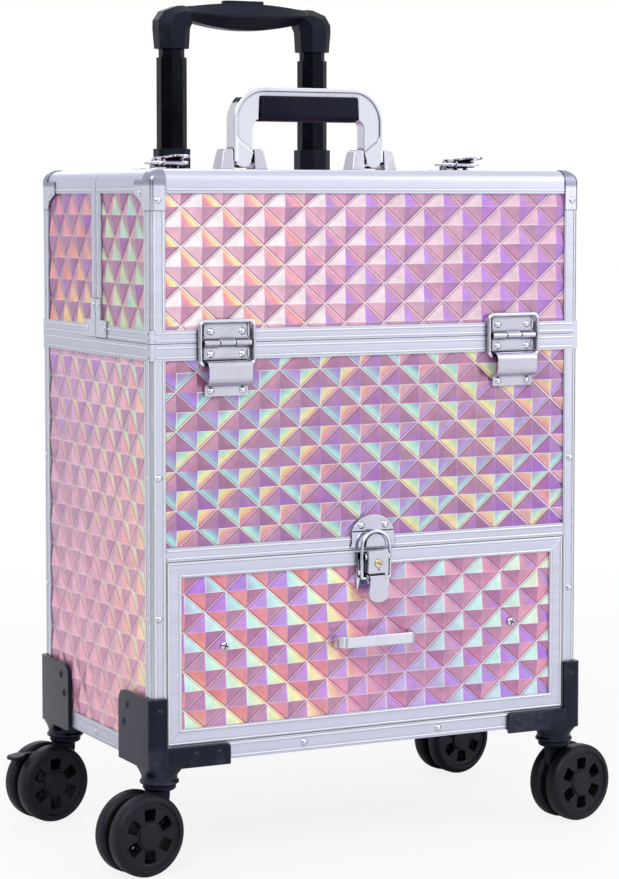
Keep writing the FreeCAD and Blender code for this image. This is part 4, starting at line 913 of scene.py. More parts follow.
def closed_mesh(name: str, draft: Draft, scale: float) -> bpy.types.Mesh:
    """Turn a draft into a mesh whose faces look outward.

    Args:
        name: The mesh's name.
        draft: The draft.
        scale: What its sizes are multiplied by.

    Returns:
        The mesh.
    """
    mesh = bpy.data.meshes.new(name)
    mesh.from_pydata([point * scale for point in draft.points], [], draft.faces)
    mesh.validate()
    shape = bmesh.new()
    shape.from_mesh(mesh)
    bmesh.ops.recalc_face_normals(shape, faces=shape.faces)
    shape.to_mesh(mesh)
    shape.free()
    return mesh


def carved(draft: Draft, cutters: Draft) -> Draft:
    """Cut one closed draft out of another.

    Args:
        draft: The draft that is cut.
        cutters: The shapes that are taken away.

    Returns:
        What is left.
    """
    held = [put_in_scene(name, closed_mesh(name, part, 1.0))
            for name, part in (("carved_blank", draft), ("carved_tool", cutters))]
    cut = held[0].modifiers.new("cut", "BOOLEAN")
    cut.operation = "DIFFERENCE"
    cut.solver = "EXACT"
    cut.object = held[1]
    graph = bpy.context.evaluated_depsgraph_get()
    result = held[0].evaluated_get(graph).to_mesh()
    left = Draft([point.co.copy() for point in result.vertices], [list(face.vertices) for face in result.polygons])
    held[0].evaluated_get(graph).to_mesh_clear()
    for item in held:
        mesh = item.data
        bpy.data.objects.remove(item)
        bpy.data.meshes.remove(mesh)
    return left


def make_piece(
    name: str,
    draft: Draft,
    body: str,
    finish: Finish,
    stands_for: Sequence[str] = (),
    round_mm: float = 0.0,
    round_steps: int = 3,
    crease: float = 35.0,
) -> bpy.types.Object:
    """Turn a draft into a piece of the case.

    Args:
        name: The piece's name.
        draft: Its mesh in millimetres.
        body: The body that it moves with.
        finish: Its finish.
        stands_for: Nodes that it replaces.
        round_mm: Radius that its sharp edges are rounded to.
        round_steps: Segments of that rounding.
        crease: Angle in degrees above which an edge is sharp.

    Returns:
        The piece.
    """
    mesh = closed_mesh(name, draft, MM)
    mesh.shade_smooth()
    mesh.set_sharp_from_angle(angle=math.radians(crease))
    mesh.materials.append(finish.material())
    piece = put_in_scene(name, mesh)
    if round_mm:
        rounding = piece.modifiers.new("rounded_edges", "BEVEL")
        rounding.width = round_mm * MM
        rounding.segments = round_steps
        rounding.limit_method = "ANGLE"
        rounding.angle_limit = math.radians(crease)
        rounding.harden_normals = True
    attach(piece, body)
    if stands_for:
        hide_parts(*stands_for)
    LOG.info("made %s on %s", name, body)
    return piece


# The case's levels


@dataclass(frozen=True)
class CaseSizes:
    """Places on the case that several pieces share."""

    half_width: float = 170.0
    front: float = -101.0
    rear: float = 101.0
    drawer_bottom: float = 87.9
    drawer_top: float = 215.2
    panel_bottom: float = 224.7
    rim_bottom: float = 352.5
    seam: float = 364.0
    lid_panel_bottom: float = 373.5
    lid_panel_top: float = 466.2
    lid_top: float = 482.6
    split: float = -4.0
    board_inset: float = 2.0
    panel_half_width: float = 158.9
    panel_half_depth: float = 89.9


CASE = CaseSizes()


# Prism film


class Facet(Enum):
    """One of a pyramid's four faces: the sides on which its two valley corners lie."""

    UPPER_LEFT = (-1, 1)
    UPPER_RIGHT = (1, 1)
    LOWER_LEFT = (-1, -1)
    LOWER_RIGHT = (1, -1)


@dataclass(frozen=True)
class FacetTone:
    """Colour of one kind of pyramid face over a panel.

    run gives places on the film's colour wheel from the panel's left edge, -1, to its right, 1, and
    upward is how far they move towards its upper edge. turn moves the place at the face's peak, its
    upper or lower corner and its side corner, and shade paints the same three dimmer or lighter. fade
    is how much of turn is lost towards the panel's right. highlight_wash lays a painted pale highlight
    on the panel's left and right. The glints paint highlights on the valley, the level ridge and the
    upright ridge at the panel's left and right, or alike at both.
    """

    run: tuple[Pair, ...]
    upward: float = 0.0
    turn: Triple = (0.0, 0.0, 0.0)
    highlight_wash: Pair = (0.0, 0.0)
    shade: Triple = (1.0, 1.0, 1.0)
    left_glints: Triple = (0.0, 0.0, 0.0)
    right_glints: Triple | None = None
    fade: float = 0.0

    def phase(self, across: float, up: float, where: Vector) -> float:
        """Place on the colour wheel.

        Args:
            across: Place over the panel, -1 to 1.
            up: Place up the panel, -1 to 1.
            where: Shares of the face's peak, upper or lower corner and side corner.

        Returns:
            The place, in turns of the wheel.
        """
        spots = self.run
        found = spots[0][1] if across <= spots[0][0] else spots[-1][1]
        for (start, low), (end, high) in zip(spots, spots[1:]):
            if start < across <= end:
                found = low + (high - low) * (across - start) / (end - start)
        kept = 1.0 - self.fade * min(1.0, max(0.0, (across + 1.0) / 2.0))
        return found + self.upward * up + kept * Vector(self.turn).dot(where)

    def pale(self, across: float) -> float:
        """Share of the painted pale highlight over the panel."""
        return self.highlight_wash[0] + (self.highlight_wash[1] - self.highlight_wash[0]) * (across + 1.0) / 2.0

    def glints(self, across: float) -> Vector:
        """Strength of the three lines over the panel."""
        return Vector(self.left_glints).lerp(Vector(self.right_glints or self.left_glints), (across + 1.0) / 2.0)


Tones = dict[Facet, FacetTone]


def by_facet(*faces: FacetTone) -> Tones:
    """Set out a pyramid's colours, given in Facet's order."""
    return dict(zip(Facet, faces))


LID_FRONT_TONES = by_facet(
    FacetTone(((-1, 0.90), (1, 0.92)), 0.0, (0.0, 0.0, 0.0), (1.15, 0.4), (1.0, 1.0, 1.0), (0.0, 0.6, 0.2),
              (0.9, 0.9, 0.1)),
    FacetTone(((-1, 0.58), (-0.7, 0.62), (-0.4, 0.78), (0, 1.0), (1, 1.02)), 0.0, (0.42, 0.04, -0.16), (0.1, 0.06),
              (0.8, 0.94, 0.94), (0.6, 0.1, 0.1), (0.25, 0.1, 0.1), 0.9),
    FacetTone(((-1, 0.88), (-0.3, 0.88), (0.3, 0.94), (1, 0.98)), 0.0, (0.03, 0.0, -0.02), (0.4, 0.1),
              (0.96, 1.05, 1.0), (0.4, 0.3, 0.0), (0.2, 0.2, 0.0)),
    FacetTone(((-1, 0.95), (-0.3, 1.0), (0.3, 1.02), (1, 1.06)), 0.0, (0.02, 0.0, 0.0), (0.12, 0.15),
              (0.92, 0.98, 0.98), (0.0, 0.1, 0.0), (0.35, 0.2, 0.0)),
)
BASE_FRONT_TONES = by_facet(
    FacetTone(((-1, 0.95), (-0.4, 1.0), (0, 1.05), (0.4, 1.0), (1, 1.04)), -0.02, (0.05, -0.03, -0.04), (0.14, 0.04),
              (0.78, 0.88, 0.88), (0.35, 0.0, 0.0), (0.35, 0.1, 0.1)),
    FacetTone(((-1, 0.99), (-0.2, 1.0), (0.5, 0.97), (1, 1.05)), -0.03, (0.03, 0.0, 0.0), (0.0, 0.04),
              (0.58, 0.64, 0.66), (0.15, 0.0, 0.0), (0.5, 0.1, 0.1)),
    FacetTone(((-1, 0.22), (-0.4, 0.28), (-0.05, 0.35), (0.2, 0.42), (0.45, 0.54), (0.75, 0.66), (1, 0.78)), -0.1,
              (-0.16, 0.1, 0.14), (0.14, 0.24), (0.74, 1.0, 1.04), (0.4, 0.0, 0.0), (1.0, 0.9, 0.8)),
    FacetTone(((-1, 0.52), (-0.45, 0.62), (-0.25, 0.80), (0, 1.04), (0.45, 1.2), (1, 1.32)), -0.26,
              (-0.24, 0.08, 0.05), (0.12, 0.3), (0.8, 1.04, 1.0), (0.5, 1.0, 1.0), (0.4, 0.3, 0.3)),
)
DRAWER_TONES = by_facet(
    FacetTone(((-1, 1.03), (-0.4, 1.06), (0, 1.12), (0.25, 1.24), (0.45, 1.33), (1, 1.44)), 0.06, (0.05, 0.0, -0.04),
              (0.08, 0.42), (0.96, 1.04, 1.02), (0.35, 0.1, 0.1), (0.6, 0.8, 0.8)),
    FacetTone(((-1, 0.34), (-0.5, 0.43), (-0.25, 0.55), (-0.05, 0.76), (0.1, 0.95), (1, 1.06)), -0.12,
              (-0.06, 0.04, 0.10), (0.3, 0.1), (0.94, 1.04, 1.0), (0.2, 0.8, 0.7), (0.15, 0.1, 0.1)),
    FacetTone(((-1, 0.77), (-0.3, 0.79), (0, 0.9), (0.4, 0.97), (1, 0.96)), 0.0, (0.05, -0.03, 0.0), (0.06, 0.04),
              (0.96, 1.04, 0.94), (0.1, 0.1, 0.1), (0.12, 0.1, 0.1)),
    FacetTone(((-1, 0.98), (0, 0.98), (0.4, 0.96), (1, 0.86)), 0.0, (0.04, 0.0, -0.03), (0.06, 0.14),
              (0.92, 1.0, 0.98), (0.25, 0.1, 0.1), (0.5, 0.1, 0.1)),
)
BASE_SIDE_TONES = by_facet(
    FacetTone(((-1, 0.95), (0, 0.94), (1, 0.89)), 0.07, (0.03, 0.0, -0.02), (0.16, 0.22), (1.04, 1.12, 1.1),
              (0.5, 0.4, 0.1), (0.6, 0.4, 0.1)),
    FacetTone(((-1, 0.92), (0, 0.89), (0.6, 0.78), (1, 0.66)), 0.06, (0.04, 0.0, -0.03), (0.2, 0.28),
              (1.1, 1.16, 1.12), (0.5, 0.4, 0.2), (0.7, 0.5, 0.3)),
    FacetTone(((-1, 0.84), (0.2, 0.68), (1, 0.5)), -0.13, (0.08, 0.0, -0.06), (0.2, 0.25), (1.02, 1.08, 1.06),
              (0.9, 0.5, 0.2)),
    FacetTone(((-1, 0.97), (0, 0.96), (1, 0.93)), 0.07, (0.03, 0.0, 0.0), (0.14, 0.18), (1.0, 1.08, 1.06),
              (0.4, 0.3, 0.1)),
)
LID_SIDE_REAR_TONES = by_facet(
    FacetTone(((-1, 0.96), (1, 0.97)), 0.0, (0.02, 0.0, 0.0), (0.08, 0.08), (0.94, 1.0, 1.0), (0.2, 0.2, 0.0)),
    FacetTone(((-1, 0.80), (1, 0.72)), 0.09, (0.04, 0.0, -0.04), (0.05, 0.1), (0.98, 1.02, 1.0), (0.5, 0.2, 0.1)),
    FacetTone(((-1, 0.97), (1, 0.99)), 0.0, (0.02, 0.0, 0.0), (0.1, 0.06), (0.94, 1.0, 1.0), (0.4, 0.1, 0.0)),
    FacetTone(((-1, 1.0), (1, 1.03)), 0.0, (0.02, 0.0, 0.0), (0.04, 0.04), (0.88, 0.92, 0.9), (0.1, 0.1, 0.0)),
)
LID_SIDE_FRONT_TONES = by_facet(
    FacetTone(((-1, 0.86), (1, 0.84)), 0.0, (0.04, 0.0, 0.0), (0.1, 0.1), (0.94, 1.0, 1.0), (0.2, 0.2, 0.0)),
    FacetTone(((-1, 0.5), (1, 0.42)), -0.04, (-0.06, 0.04, 0.06), (0.25, 0.25), (0.8, 0.88, 0.86), (0.5, 0.3, 0.1)),
    FacetTone(((-1, 0.96), (1, 0.98)), 0.0, (0.02, 0.0, 0.0), (0.08, 0.08), (0.94, 1.0, 1.0), (0.4, 0.1, 0.0)),
    FacetTone(((-1, 0.99), (1, 1.01)), 0.0, (0.02, 0.0, 0.0), (0.06, 0.06), (0.9, 0.94, 0.92), (0.1, 0.1, 0.0)),
)


@dataclass(frozen=True)
class FilmPanel:
    """One panel of pressed film: where it lies, its pyramids and their colours."""

    name: str
    body: str
    centre: Triple
    along: Vector
    up: Vector
    width: float
    height: float
    pitch: Pair
    anchor: Pair
    tones: Tones

    apex: float = 1.75
    lift: float = 0.05
    tuck: float = 0.5
    backing: float = 0.3
    hue_spread: float = 0.02
    pale_spread: float = 0.06
    turns_ahead: float = 2.0
    spots_per_mm: float = 100.0

    def build(self, rng: random.Random) -> bpy.types.Object:
        """Press the pyramids, close the panel at its back and dress it.

        Args:
            rng: The source of the faces' small differences.

        Returns:
            The panel.
        """
        shape = bmesh.new()
        layers = [shape.loops.layers.float_vector.new(name) for name in ("film_tone", "film_glint", "facet_place")]
        corners: dict[tuple[int, int], bmesh.types.BMVert] = {}
        for peak in self._peaks():
            for facet in Facet:
                self._press(shape, layers, corners, peak, facet, rng)
        self._close(shape)
        mesh = bpy.data.meshes.new(self.name)
        shape.to_mesh(mesh)
        shape.free()
        mesh.materials.append(FILM.material())
        piece = put_in_scene(self.name, mesh)
        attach(piece, self.body)
        LOG.info("made %s on %s", self.name, self.body)
        return piece

    def _half(self) -> Pair:
        """Half the pressed area, with the strip that is tucked under the frame."""
        return self.width / 2.0 + self.tuck, self.height / 2.0 + self.tuck

    def _peaks(self) -> list[Pair]:
        """Middles of all the pyramids that reach into the panel.

        Returns:
            The points.
        """
        half = self._half()
        reach = [int(math.ceil((side + abs(start)) / step)) + 1
                 for side, start, step in zip(half, self.anchor, self.pitch)]
        found = []
        for column in range(-reach[0], reach[0] + 1):
            for row in range(-reach[1], reach[1] + 1):
                if (column + row) % 2 == 0:
                    continue
                spot = (self.anchor[0] + column * self.pitch[0], self.anchor[1] + row * self.pitch[1])
                if all(abs(place) < side + step for place, side, step in zip(spot, half, self.pitch)):
                    found.append(spot)
        return found

    def _press(
        self,
        shape: bmesh.types.BMesh,
        layers: list,
        corners: dict[tuple[int, int], bmesh.types.BMVert],
        peak: Pair,
        facet: Facet,
        rng: random.Random,
    ) -> None:
        """Add one face of a pyramid, cut to the panel.

        Args:
            shape: The mesh that it is added to.
            layers: Where the colour, the glints and the place on the face are kept.
            corners: The mesh's points by place.
            peak: The pyramid's middle.
            facet: Which face it is.
            rng: The source of small differences.
        """
        side, rise = facet.value
        tone = self.tones[facet]
        shift = rng.uniform(-self.hue_spread, self.hue_spread)
        paleness = rng.uniform(-self.pale_spread, self.pale_spread)
        ring = [
            (peak[0] + side * self.pitch[0], peak[1], 0.0, (0.0, 0.0, 1.0)),
            (peak[0], peak[1] + rise * self.pitch[1], 0.0, (0.0, 1.0, 0.0)),
            (peak[0], peak[1], self.apex, (1.0, 0.0, 0.0)),
        ]
        if side * rise < 0:
            ring.reverse()
        corner_list = self._trim([(Vector((a, b, h)), Vector(spot)) for a, b, h, spot in ring])
        if len(corner_list) < 3:
            return
        points = []
        for spot, _ in corner_list:
            key = (round(spot.x * self.spots_per_mm), round(spot.y * self.spots_per_mm))
            if key not in corners:
                corners[key] = shape.verts.new(self._place(spot.x, spot.y, spot.z + self.lift))
            if corners[key] not in points:
                points.append(corners[key])
        if len(points) < 3 or len(points) != len(corner_list):
            return
        face = shape.faces.new(points)
        for loop, (spot, where) in zip(face.loops, corner_list):
            across = 2.0 * spot.x / self.width
            upward = 2.0 * spot.y / self.height
            phase = self.turns_ahead + tone.phase(across, upward, where) + shift
            # Share of painted pale highlight at this corner, with a small random change per face.
            highlight_wash = min(1.0, max(0.0, tone.pale(across) + paleness))
            loop[layers[0]] = Vector((phase, highlight_wash, Vector(tone.shade).dot(where)))
            loop[layers[1]] = tone.glints(across)
            loop[layers[2]] = where

    def _trim(self, ring: list[tuple[Vector, Vector]]) -> list[tuple[Vector, Vector]]:
        """Cut a face to the panel's rectangle.

        Args:
            ring: The face's corners, each with its place on the face.

        Returns:
            The corners that are left, new ones among them.
        """
        for axis, side in itertools.product((0, 1), SIDES):
            limit = self._half()[axis]
            kept: list[tuple[Vector, Vector]] = []
            for spot, corner in enumerate(ring):
                before = ring[spot - 1]
                inside = limit - side * corner[0][axis]
                inside_before = limit - side * before[0][axis]
                if (inside >= 0.0) != (inside_before >= 0.0):
                    share = inside_before / (inside_before - inside)
                    kept.append((before[0].lerp(corner[0], share), before[1].lerp(corner[1], share)))
                if inside >= 0.0:
                    kept.append(corner)
            ring = kept
        return ring

    def _out(self) -> Vector:
        """The way that the panel faces."""
        return self.along.cross(self.up)

    def _place(self, along: float, up: float, height: float) -> Vector:
        """A place on the case, in metres, from a place on the panel."""
        return (Vector(self.centre) + self.along * along + self.up * up + self._out() * height) * MM

    def _close(self, shape: bmesh.types.BMesh) -> None:
        """Turn the pressed sheet into a closed panel with a flat back.

        Args:
            shape: The pressed sheet.
        """
        shape.normal_update()
        rim = [edge for edge in shape.edges if edge.is_boundary]
        plane = Vector(self.centre) * MM
        made = bmesh.ops.extrude_edge_only(shape, edges=rim)["geom"]
        for point in (item for item in made if isinstance(item, bmesh.types.BMVert)):
            height = (point.co - plane).dot(self._out())
            point.co -= self._out() * (height + self.backing * MM)
        edges = [item for item in made if isinstance(item, bmesh.types.BMEdge)]
        bmesh.ops.contextual_create(shape, geom=edges)
        bmesh.ops.recalc_face_normals(shape, faces=shape.faces)


@dataclass(frozen=True)
class FilmSet:
    """All the film panels of the case."""

    front_pitch: Pair = (15.73, 13.5)
    side_pitch: Pair = (13.5, 15.7)
    lid_anchor: Pair = (-131.3, 443.5)
    base_anchor: Pair = (-72.2, 317.3)
    drawer_anchor: Pair = (-129.5, 178.7)
    lid_split_gap: float = 8.3
    drawer_half_width: float = 147.5
    drawer_panel_low: float = 99.3
    drawer_panel_high: float = 203.8
    top_half_width: float = 160.0
    top_half_depth: float = 91.0
    seed: int = 7

    def build(self) -> Pieces:
        """Press every panel."""
        rng = random.Random(self.seed)
        return [panel.build(rng) for panel in self._fronts() + self._sides() + self._top()]

    def _upright(
        self, name: str, body: str, span: Pair, rise: Pair, plane: float, facing: Vector,
        pitch: Pair, anchor: Pair, tones: Tones,
    ) -> FilmPanel:
        """Describe a panel that stands upright.

        Args:
            name: The panel's name.
            body: The body that carries it.
            span: Its ends along x or y.
            rise: Its lower and upper edge.
            plane: Where its board's face lies along the direction it faces.
            facing: The direction it faces.
            pitch: Half the pyramids' width and height.
            anchor: A valley corner, along the span and in height.
            tones: Its colours.

        Returns:
            The panel.
        """
        along = Z_AXIS.cross(facing)
        middle = sum(span) / 2.0
        centre_height = sum(rise) / 2.0
        way = along.x + along.y
        run = X_AXIS if abs(facing.y) > 0.5 else Y_AXIS
        centre = run * middle + facing * plane + Z_AXIS * centre_height
        spot = ((anchor[0] - middle) * way, anchor[1] - centre_height)
        size = (abs(span[1] - span[0]), rise[1] - rise[0])
        return FilmPanel(name, body, tuple(centre), along, Z_AXIS, *size, pitch, spot, tones)

    def _fronts(self) -> list[FilmPanel]:
        """Panels that face the front and the back.

        Returns:
            The panels.
        """
        face = -CASE.front - CASE.board_inset
        wide = (-CASE.panel_half_width, CASE.panel_half_width)
        narrow = (-self.drawer_half_width, self.drawer_half_width)
        base = (CASE.panel_bottom, CASE.rim_bottom)
        whole = (CASE.drawer_bottom, CASE.rim_bottom)
        lid = (CASE.lid_panel_bottom, CASE.lid_panel_top)
        drawer = (self.drawer_panel_low, self.drawer_panel_high)
        rows = (
            ("film_base_front", "case", wide, base, -Y_AXIS, self.base_anchor, BASE_FRONT_TONES),
            ("film_lid_front", "front_lid", wide, lid, -Y_AXIS, self.lid_anchor, LID_FRONT_TONES),
            ("film_drawer", "drawer", narrow, drawer, -Y_AXIS, self.drawer_anchor, DRAWER_TONES),
            ("film_base_back", "case", wide, whole, Y_AXIS, self.base_anchor, BASE_FRONT_TONES),
            ("film_lid_back", "case", wide, lid, Y_AXIS, self.lid_anchor, LID_FRONT_TONES),
        )
        return [self._upright(name, body, span, rise, face, facing, self.front_pitch, anchor, tones)
                for name, body, span, rise, facing, anchor, tones in rows]

    def _sides(self) -> list[FilmPanel]:
        """Panels that face left and right.

        Returns:
            The panels.
        """
        half = CASE.panel_half_depth
        face = CASE.half_width - CASE.board_inset
        lid = (CASE.lid_panel_bottom, CASE.lid_panel_top)
        gap = self.lid_split_gap
        base_anchor, lid_anchor = (CASE.front, CASE.seam), (CASE.front, CASE.lid_top)
        rows = (
            ("film_base", "case", (-half, half), (CASE.drawer_bottom, CASE.rim_bottom), base_anchor, BASE_SIDE_TONES),
            ("film_front_lid", "front_lid", (-half, CASE.split - gap), lid, lid_anchor, LID_SIDE_FRONT_TONES),
            ("film_rear_lid", "case", (CASE.split + gap, half), lid, lid_anchor, LID_SIDE_REAR_TONES),
        )
        return [self._upright(f"{stem}_{name}", body, span, rise, face, facing, self.side_pitch, anchor, tones)
                for name, facing in (("left", -X_AXIS), ("right", X_AXIS))
                for stem, body, span, rise, anchor, tones in rows]

    def _top(self) -> list[FilmPanel]:
        """The two panels on top of the lid.

        Returns:
            The panels.
        """
        spans = (
            ("film_front_lid_top", "front_lid", (-self.top_half_depth, CASE.split - self.lid_split_gap)),
            ("film_rear_lid_top", "case", (CASE.split + self.lid_split_gap, self.top_half_depth)),
        )
        made = []
        for name, body, span in spans:
            middle = sum(span) / 2.0
            centre = (0.0, middle, CASE.lid_top - CASE.board_inset)
            anchor = (self.lid_anchor[0], CASE.split - middle)
            size = (2.0 * self.top_half_width, span[1] - span[0])
            made.append(FilmPanel(name, body, centre, X_AXIS, Y_AXIS, *size, self.front_pitch, anchor,
                                  LID_FRONT_TONES))
        return made


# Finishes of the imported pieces


def dress_packed_pieces() -> None:
    """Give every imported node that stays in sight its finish."""
    dress(ALUMINIUM_LEVEL, "bottom_rails", "base_rim", "middle_rail", "front_lid_frame", "rear_lid_frame",
          "drawer_front_frame")
    dress(ALUMINIUM_UPRIGHT, "corner_posts")
    dress(CORNER_METAL, "front_lid_corner_fittings", "rear_lid_corner_fittings")
    dress(LINING, "bottom_board", "base_panels", "drawer_shelf", "front_lid_panels", "rear_lid_panels",
          "drawer_front_panel", "drawer_box")
    dress(CHROME, "top_latch_plates", "drawer_latch_plate", "case_rivets", "front_lid_rivets")
    dress(ZINC, "drawer_fixed_runners", "drawer_moving_runners", "tray_front_arms", "tray_rear_arms", "tray_posts")
    dress(SCREW_BLACK, "bracket_screws")
    dress(PLASTIC, "trolley_button", "trolley_clamps", "trolley_collars", "tray")
    dress(TUBE_BLACK, "trolley_outer_tubes", "trolley_middle_tubes", "trolley_inner_tubes")


# Edge frame


@dataclass(frozen=True)
class EdgeBeads:
    """Raised lines that run along the drawn sections of the edge frame."""

    half: float = 0.8
    rise: float = 0.45
    sink: float = 0.15
    post_spots: Pair = (2.9, 9.5)
    corner: float = 3.6
    bracket_top: float = 121.5
    bracket_foot: float = 111.7
    bracket_cheek: float = 47.7
    cap_low: float = 454.4
    cap_front: float = 158.3
    cap_side: float = 74.5
    split_bar: float = 4.3
    split_bar_low: float = 391.8
    top_bead: float = 468.8
    rim_beads: Pair = (354.8, 361.5)
    strip_beads: Pair = (366.4, 371.4)
    bottom_beads: Pair = (77.5, 85.9)
    middle_beads: Pair = (217.2, 222.7)
    drawer_lines: tuple[Triple, ...] = ((148.9, 97.9, 205.2), (157.4, 89.4, 213.7))
    split_clear: float = 0.6
    rail_clear: float = 0.4

    def build(self) -> Pieces:
        """Lay the beads of the base, both halves of the lid and the drawer.

        Returns:
            The pieces.
        """
        lid = (CASE.lid_panel_bottom, self.cap_low)
        base = (self.bracket_top, CASE.rim_bottom)
        parts = (
            ("base_post_beads", self._posts(base, SIDES), "case", LIP_HIGHLIGHT_UPRIGHT),
            ("base_rail_beads", self._base_rails(), "case", LIP_HIGHLIGHT_LEVEL),
            ("front_lid_post_beads", self._posts(lid, (-1.0,)).join(self._split_bars(-1.0)), "front_lid",
             LIP_HIGHLIGHT_UPRIGHT),
            ("front_lid_rail_beads", self._lid_rails(-1.0), "front_lid", LIP_HIGHLIGHT_LEVEL),
            ("rear_lid_post_beads", self._posts(lid, (1.0,)).join(self._split_bars(1.0)), "case", LIP_HIGHLIGHT_UPRIGHT),
            ("rear_lid_rail_beads", self._lid_rails(1.0), "case", LIP_HIGHLIGHT_LEVEL),
            ("drawer_level_beads", self._drawer(True), "drawer", LIP_HIGHLIGHT_LEVEL),
            ("drawer_upright_beads", self._drawer(False), "drawer", LIP_HIGHLIGHT_UPRIGHT),
        )
        return [make_piece(name, draft, body, finish, crease=60.0)
                for name, draft, body, finish in parts]

    def _bead(self, start: Triple, end: Triple, out: Vector) -> Draft:
        """One raised line.

        Args:
            start: Where it starts on the section's face.
            end: Where it ends.
            out: The way that the face looks.

        Returns:
            The line's draft.
        """
        first, last = Vector(start), Vector(end)
        across = (last - first).normalized().cross(out)
        section = [(a * self.half, b * self.rise) for a, b in arc(ORIGIN[:2], 1.0, 0.0, 180.0, 6)]
        section += [(-self.half, -self.sink), (self.half, -self.sink)]
        return loft([[point + across * a + out * b for a, b in section] for point in (first, last)])

    def _posts(self, rise: Pair, ends: Sequence[float]) -> Draft:
        """Upright beads on the posts.

        Args:
            rise: Their lower and upper ends.
            ends: -1 for the posts at the front, 1 for those at the rear.

        Returns:
            The beads' draft.
        """
        draft = Draft()
        for side, way, spot in itertools.product(SIDES, ends, self.post_spots):
            x, y = side * (CASE.half_width - spot), way * CASE.rear
            draft.join(self._bead((x, y, rise[0]), (x, y, rise[1]), Y_AXIS * way))
            x, y = side * CASE.half_width, way * (CASE.rear - spot)
            draft.join(self._bead((x, y, rise[0]), (x, y, rise[1]), X_AXIS * side))
        return draft

    def _level(self, heights: Sequence[float], reach: float, span: Pair, ends: Sequence[float]) -> Draft:
        """Level beads round the case.

        Args:
            heights: Their heights.
            reach: Half the length of those on the front and the rear.
            span: The ends of those on the sides, or the same place twice for none.
            ends: -1 for the front, 1 for the rear.

        Returns:
            The beads' draft.
        """
        draft = Draft()
        for height in heights:
            for way in ends:
                y = way * CASE.rear
                draft.join(self._bead((-reach, y, height), (reach, y, height), Y_AXIS * way))
            for side in SIDES if span[1] > span[0] else ():
                x = side * CASE.half_width
                draft.join(self._bead((x, span[0], height), (x, span[1], height), X_AXIS * side))
        return draft

    def _base_rails(self) -> Draft:
        """Beads on the rim, the rail over the drawer and the bottom rails.

        Returns:
            The draft.
        """
        long, deep, cheek = CASE.half_width - self.corner, CASE.rear - self.corner, self.bracket_cheek
        draft = self._level(self.rim_beads, long, (-deep, deep), SIDES)
        draft.join(self._level(self.bottom_beads, self.bracket_foot, (-cheek, cheek), SIDES))
        short = CASE.panel_half_width - self.rail_clear
        return draft.join(self._level(self.middle_beads, short, (0.0, 0.0), (-1.0,)))

    def _lid_rails(self, way: float) -> Draft:
        """Level beads on one half of the lid.

        Args:
            way: -1 for the front half, 1 for the rear half.

        Returns:
            The draft.
        """
        draft = Draft()
        split = CASE.split + way * self.split_clear
        rows = ((self.strip_beads, CASE.half_width - self.corner, CASE.rear - self.corner),
                ((self.top_bead,), self.cap_front, self.cap_side))
        for heights, reach, deep in rows:
            draft.join(self._level(heights, reach, tuple(sorted((split, way * deep))), (way,)))
        return draft

    def _split_bars(self, way: float) -> Draft:
        """The bead on each bar beside the split.

        Args:
            way: -1 for the front half, 1 for the rear half.

        Returns:
            The draft.
        """
        draft = Draft()
        y = CASE.split + way * self.split_bar
        for side in SIDES:
            x = side * CASE.half_width
            draft.join(self._bead((x, y, self.split_bar_low), (x, y, CASE.lid_panel_top), X_AXIS * side))
        return draft

    def _drawer(self, level: bool) -> Draft:
        """Lips along the inner and outer edges of the drawer's frame.

        Args:
            level: Whether the level lips are drawn, or the upright ones.

        Returns:
            The draft.
        """
        draft = Draft()
        y = CASE.front
        for half, low, high in self.drawer_lines:
            for height in (low, high) if level else ():
                draft.join(self._bead((-half, y, height), (half, y, height), -Y_AXIS))
            for x in () if level else (-half, half):
                draft.join(self._bead((x, y, low), (x, y, high), -Y_AXIS))
        return draft


# Stay hinges


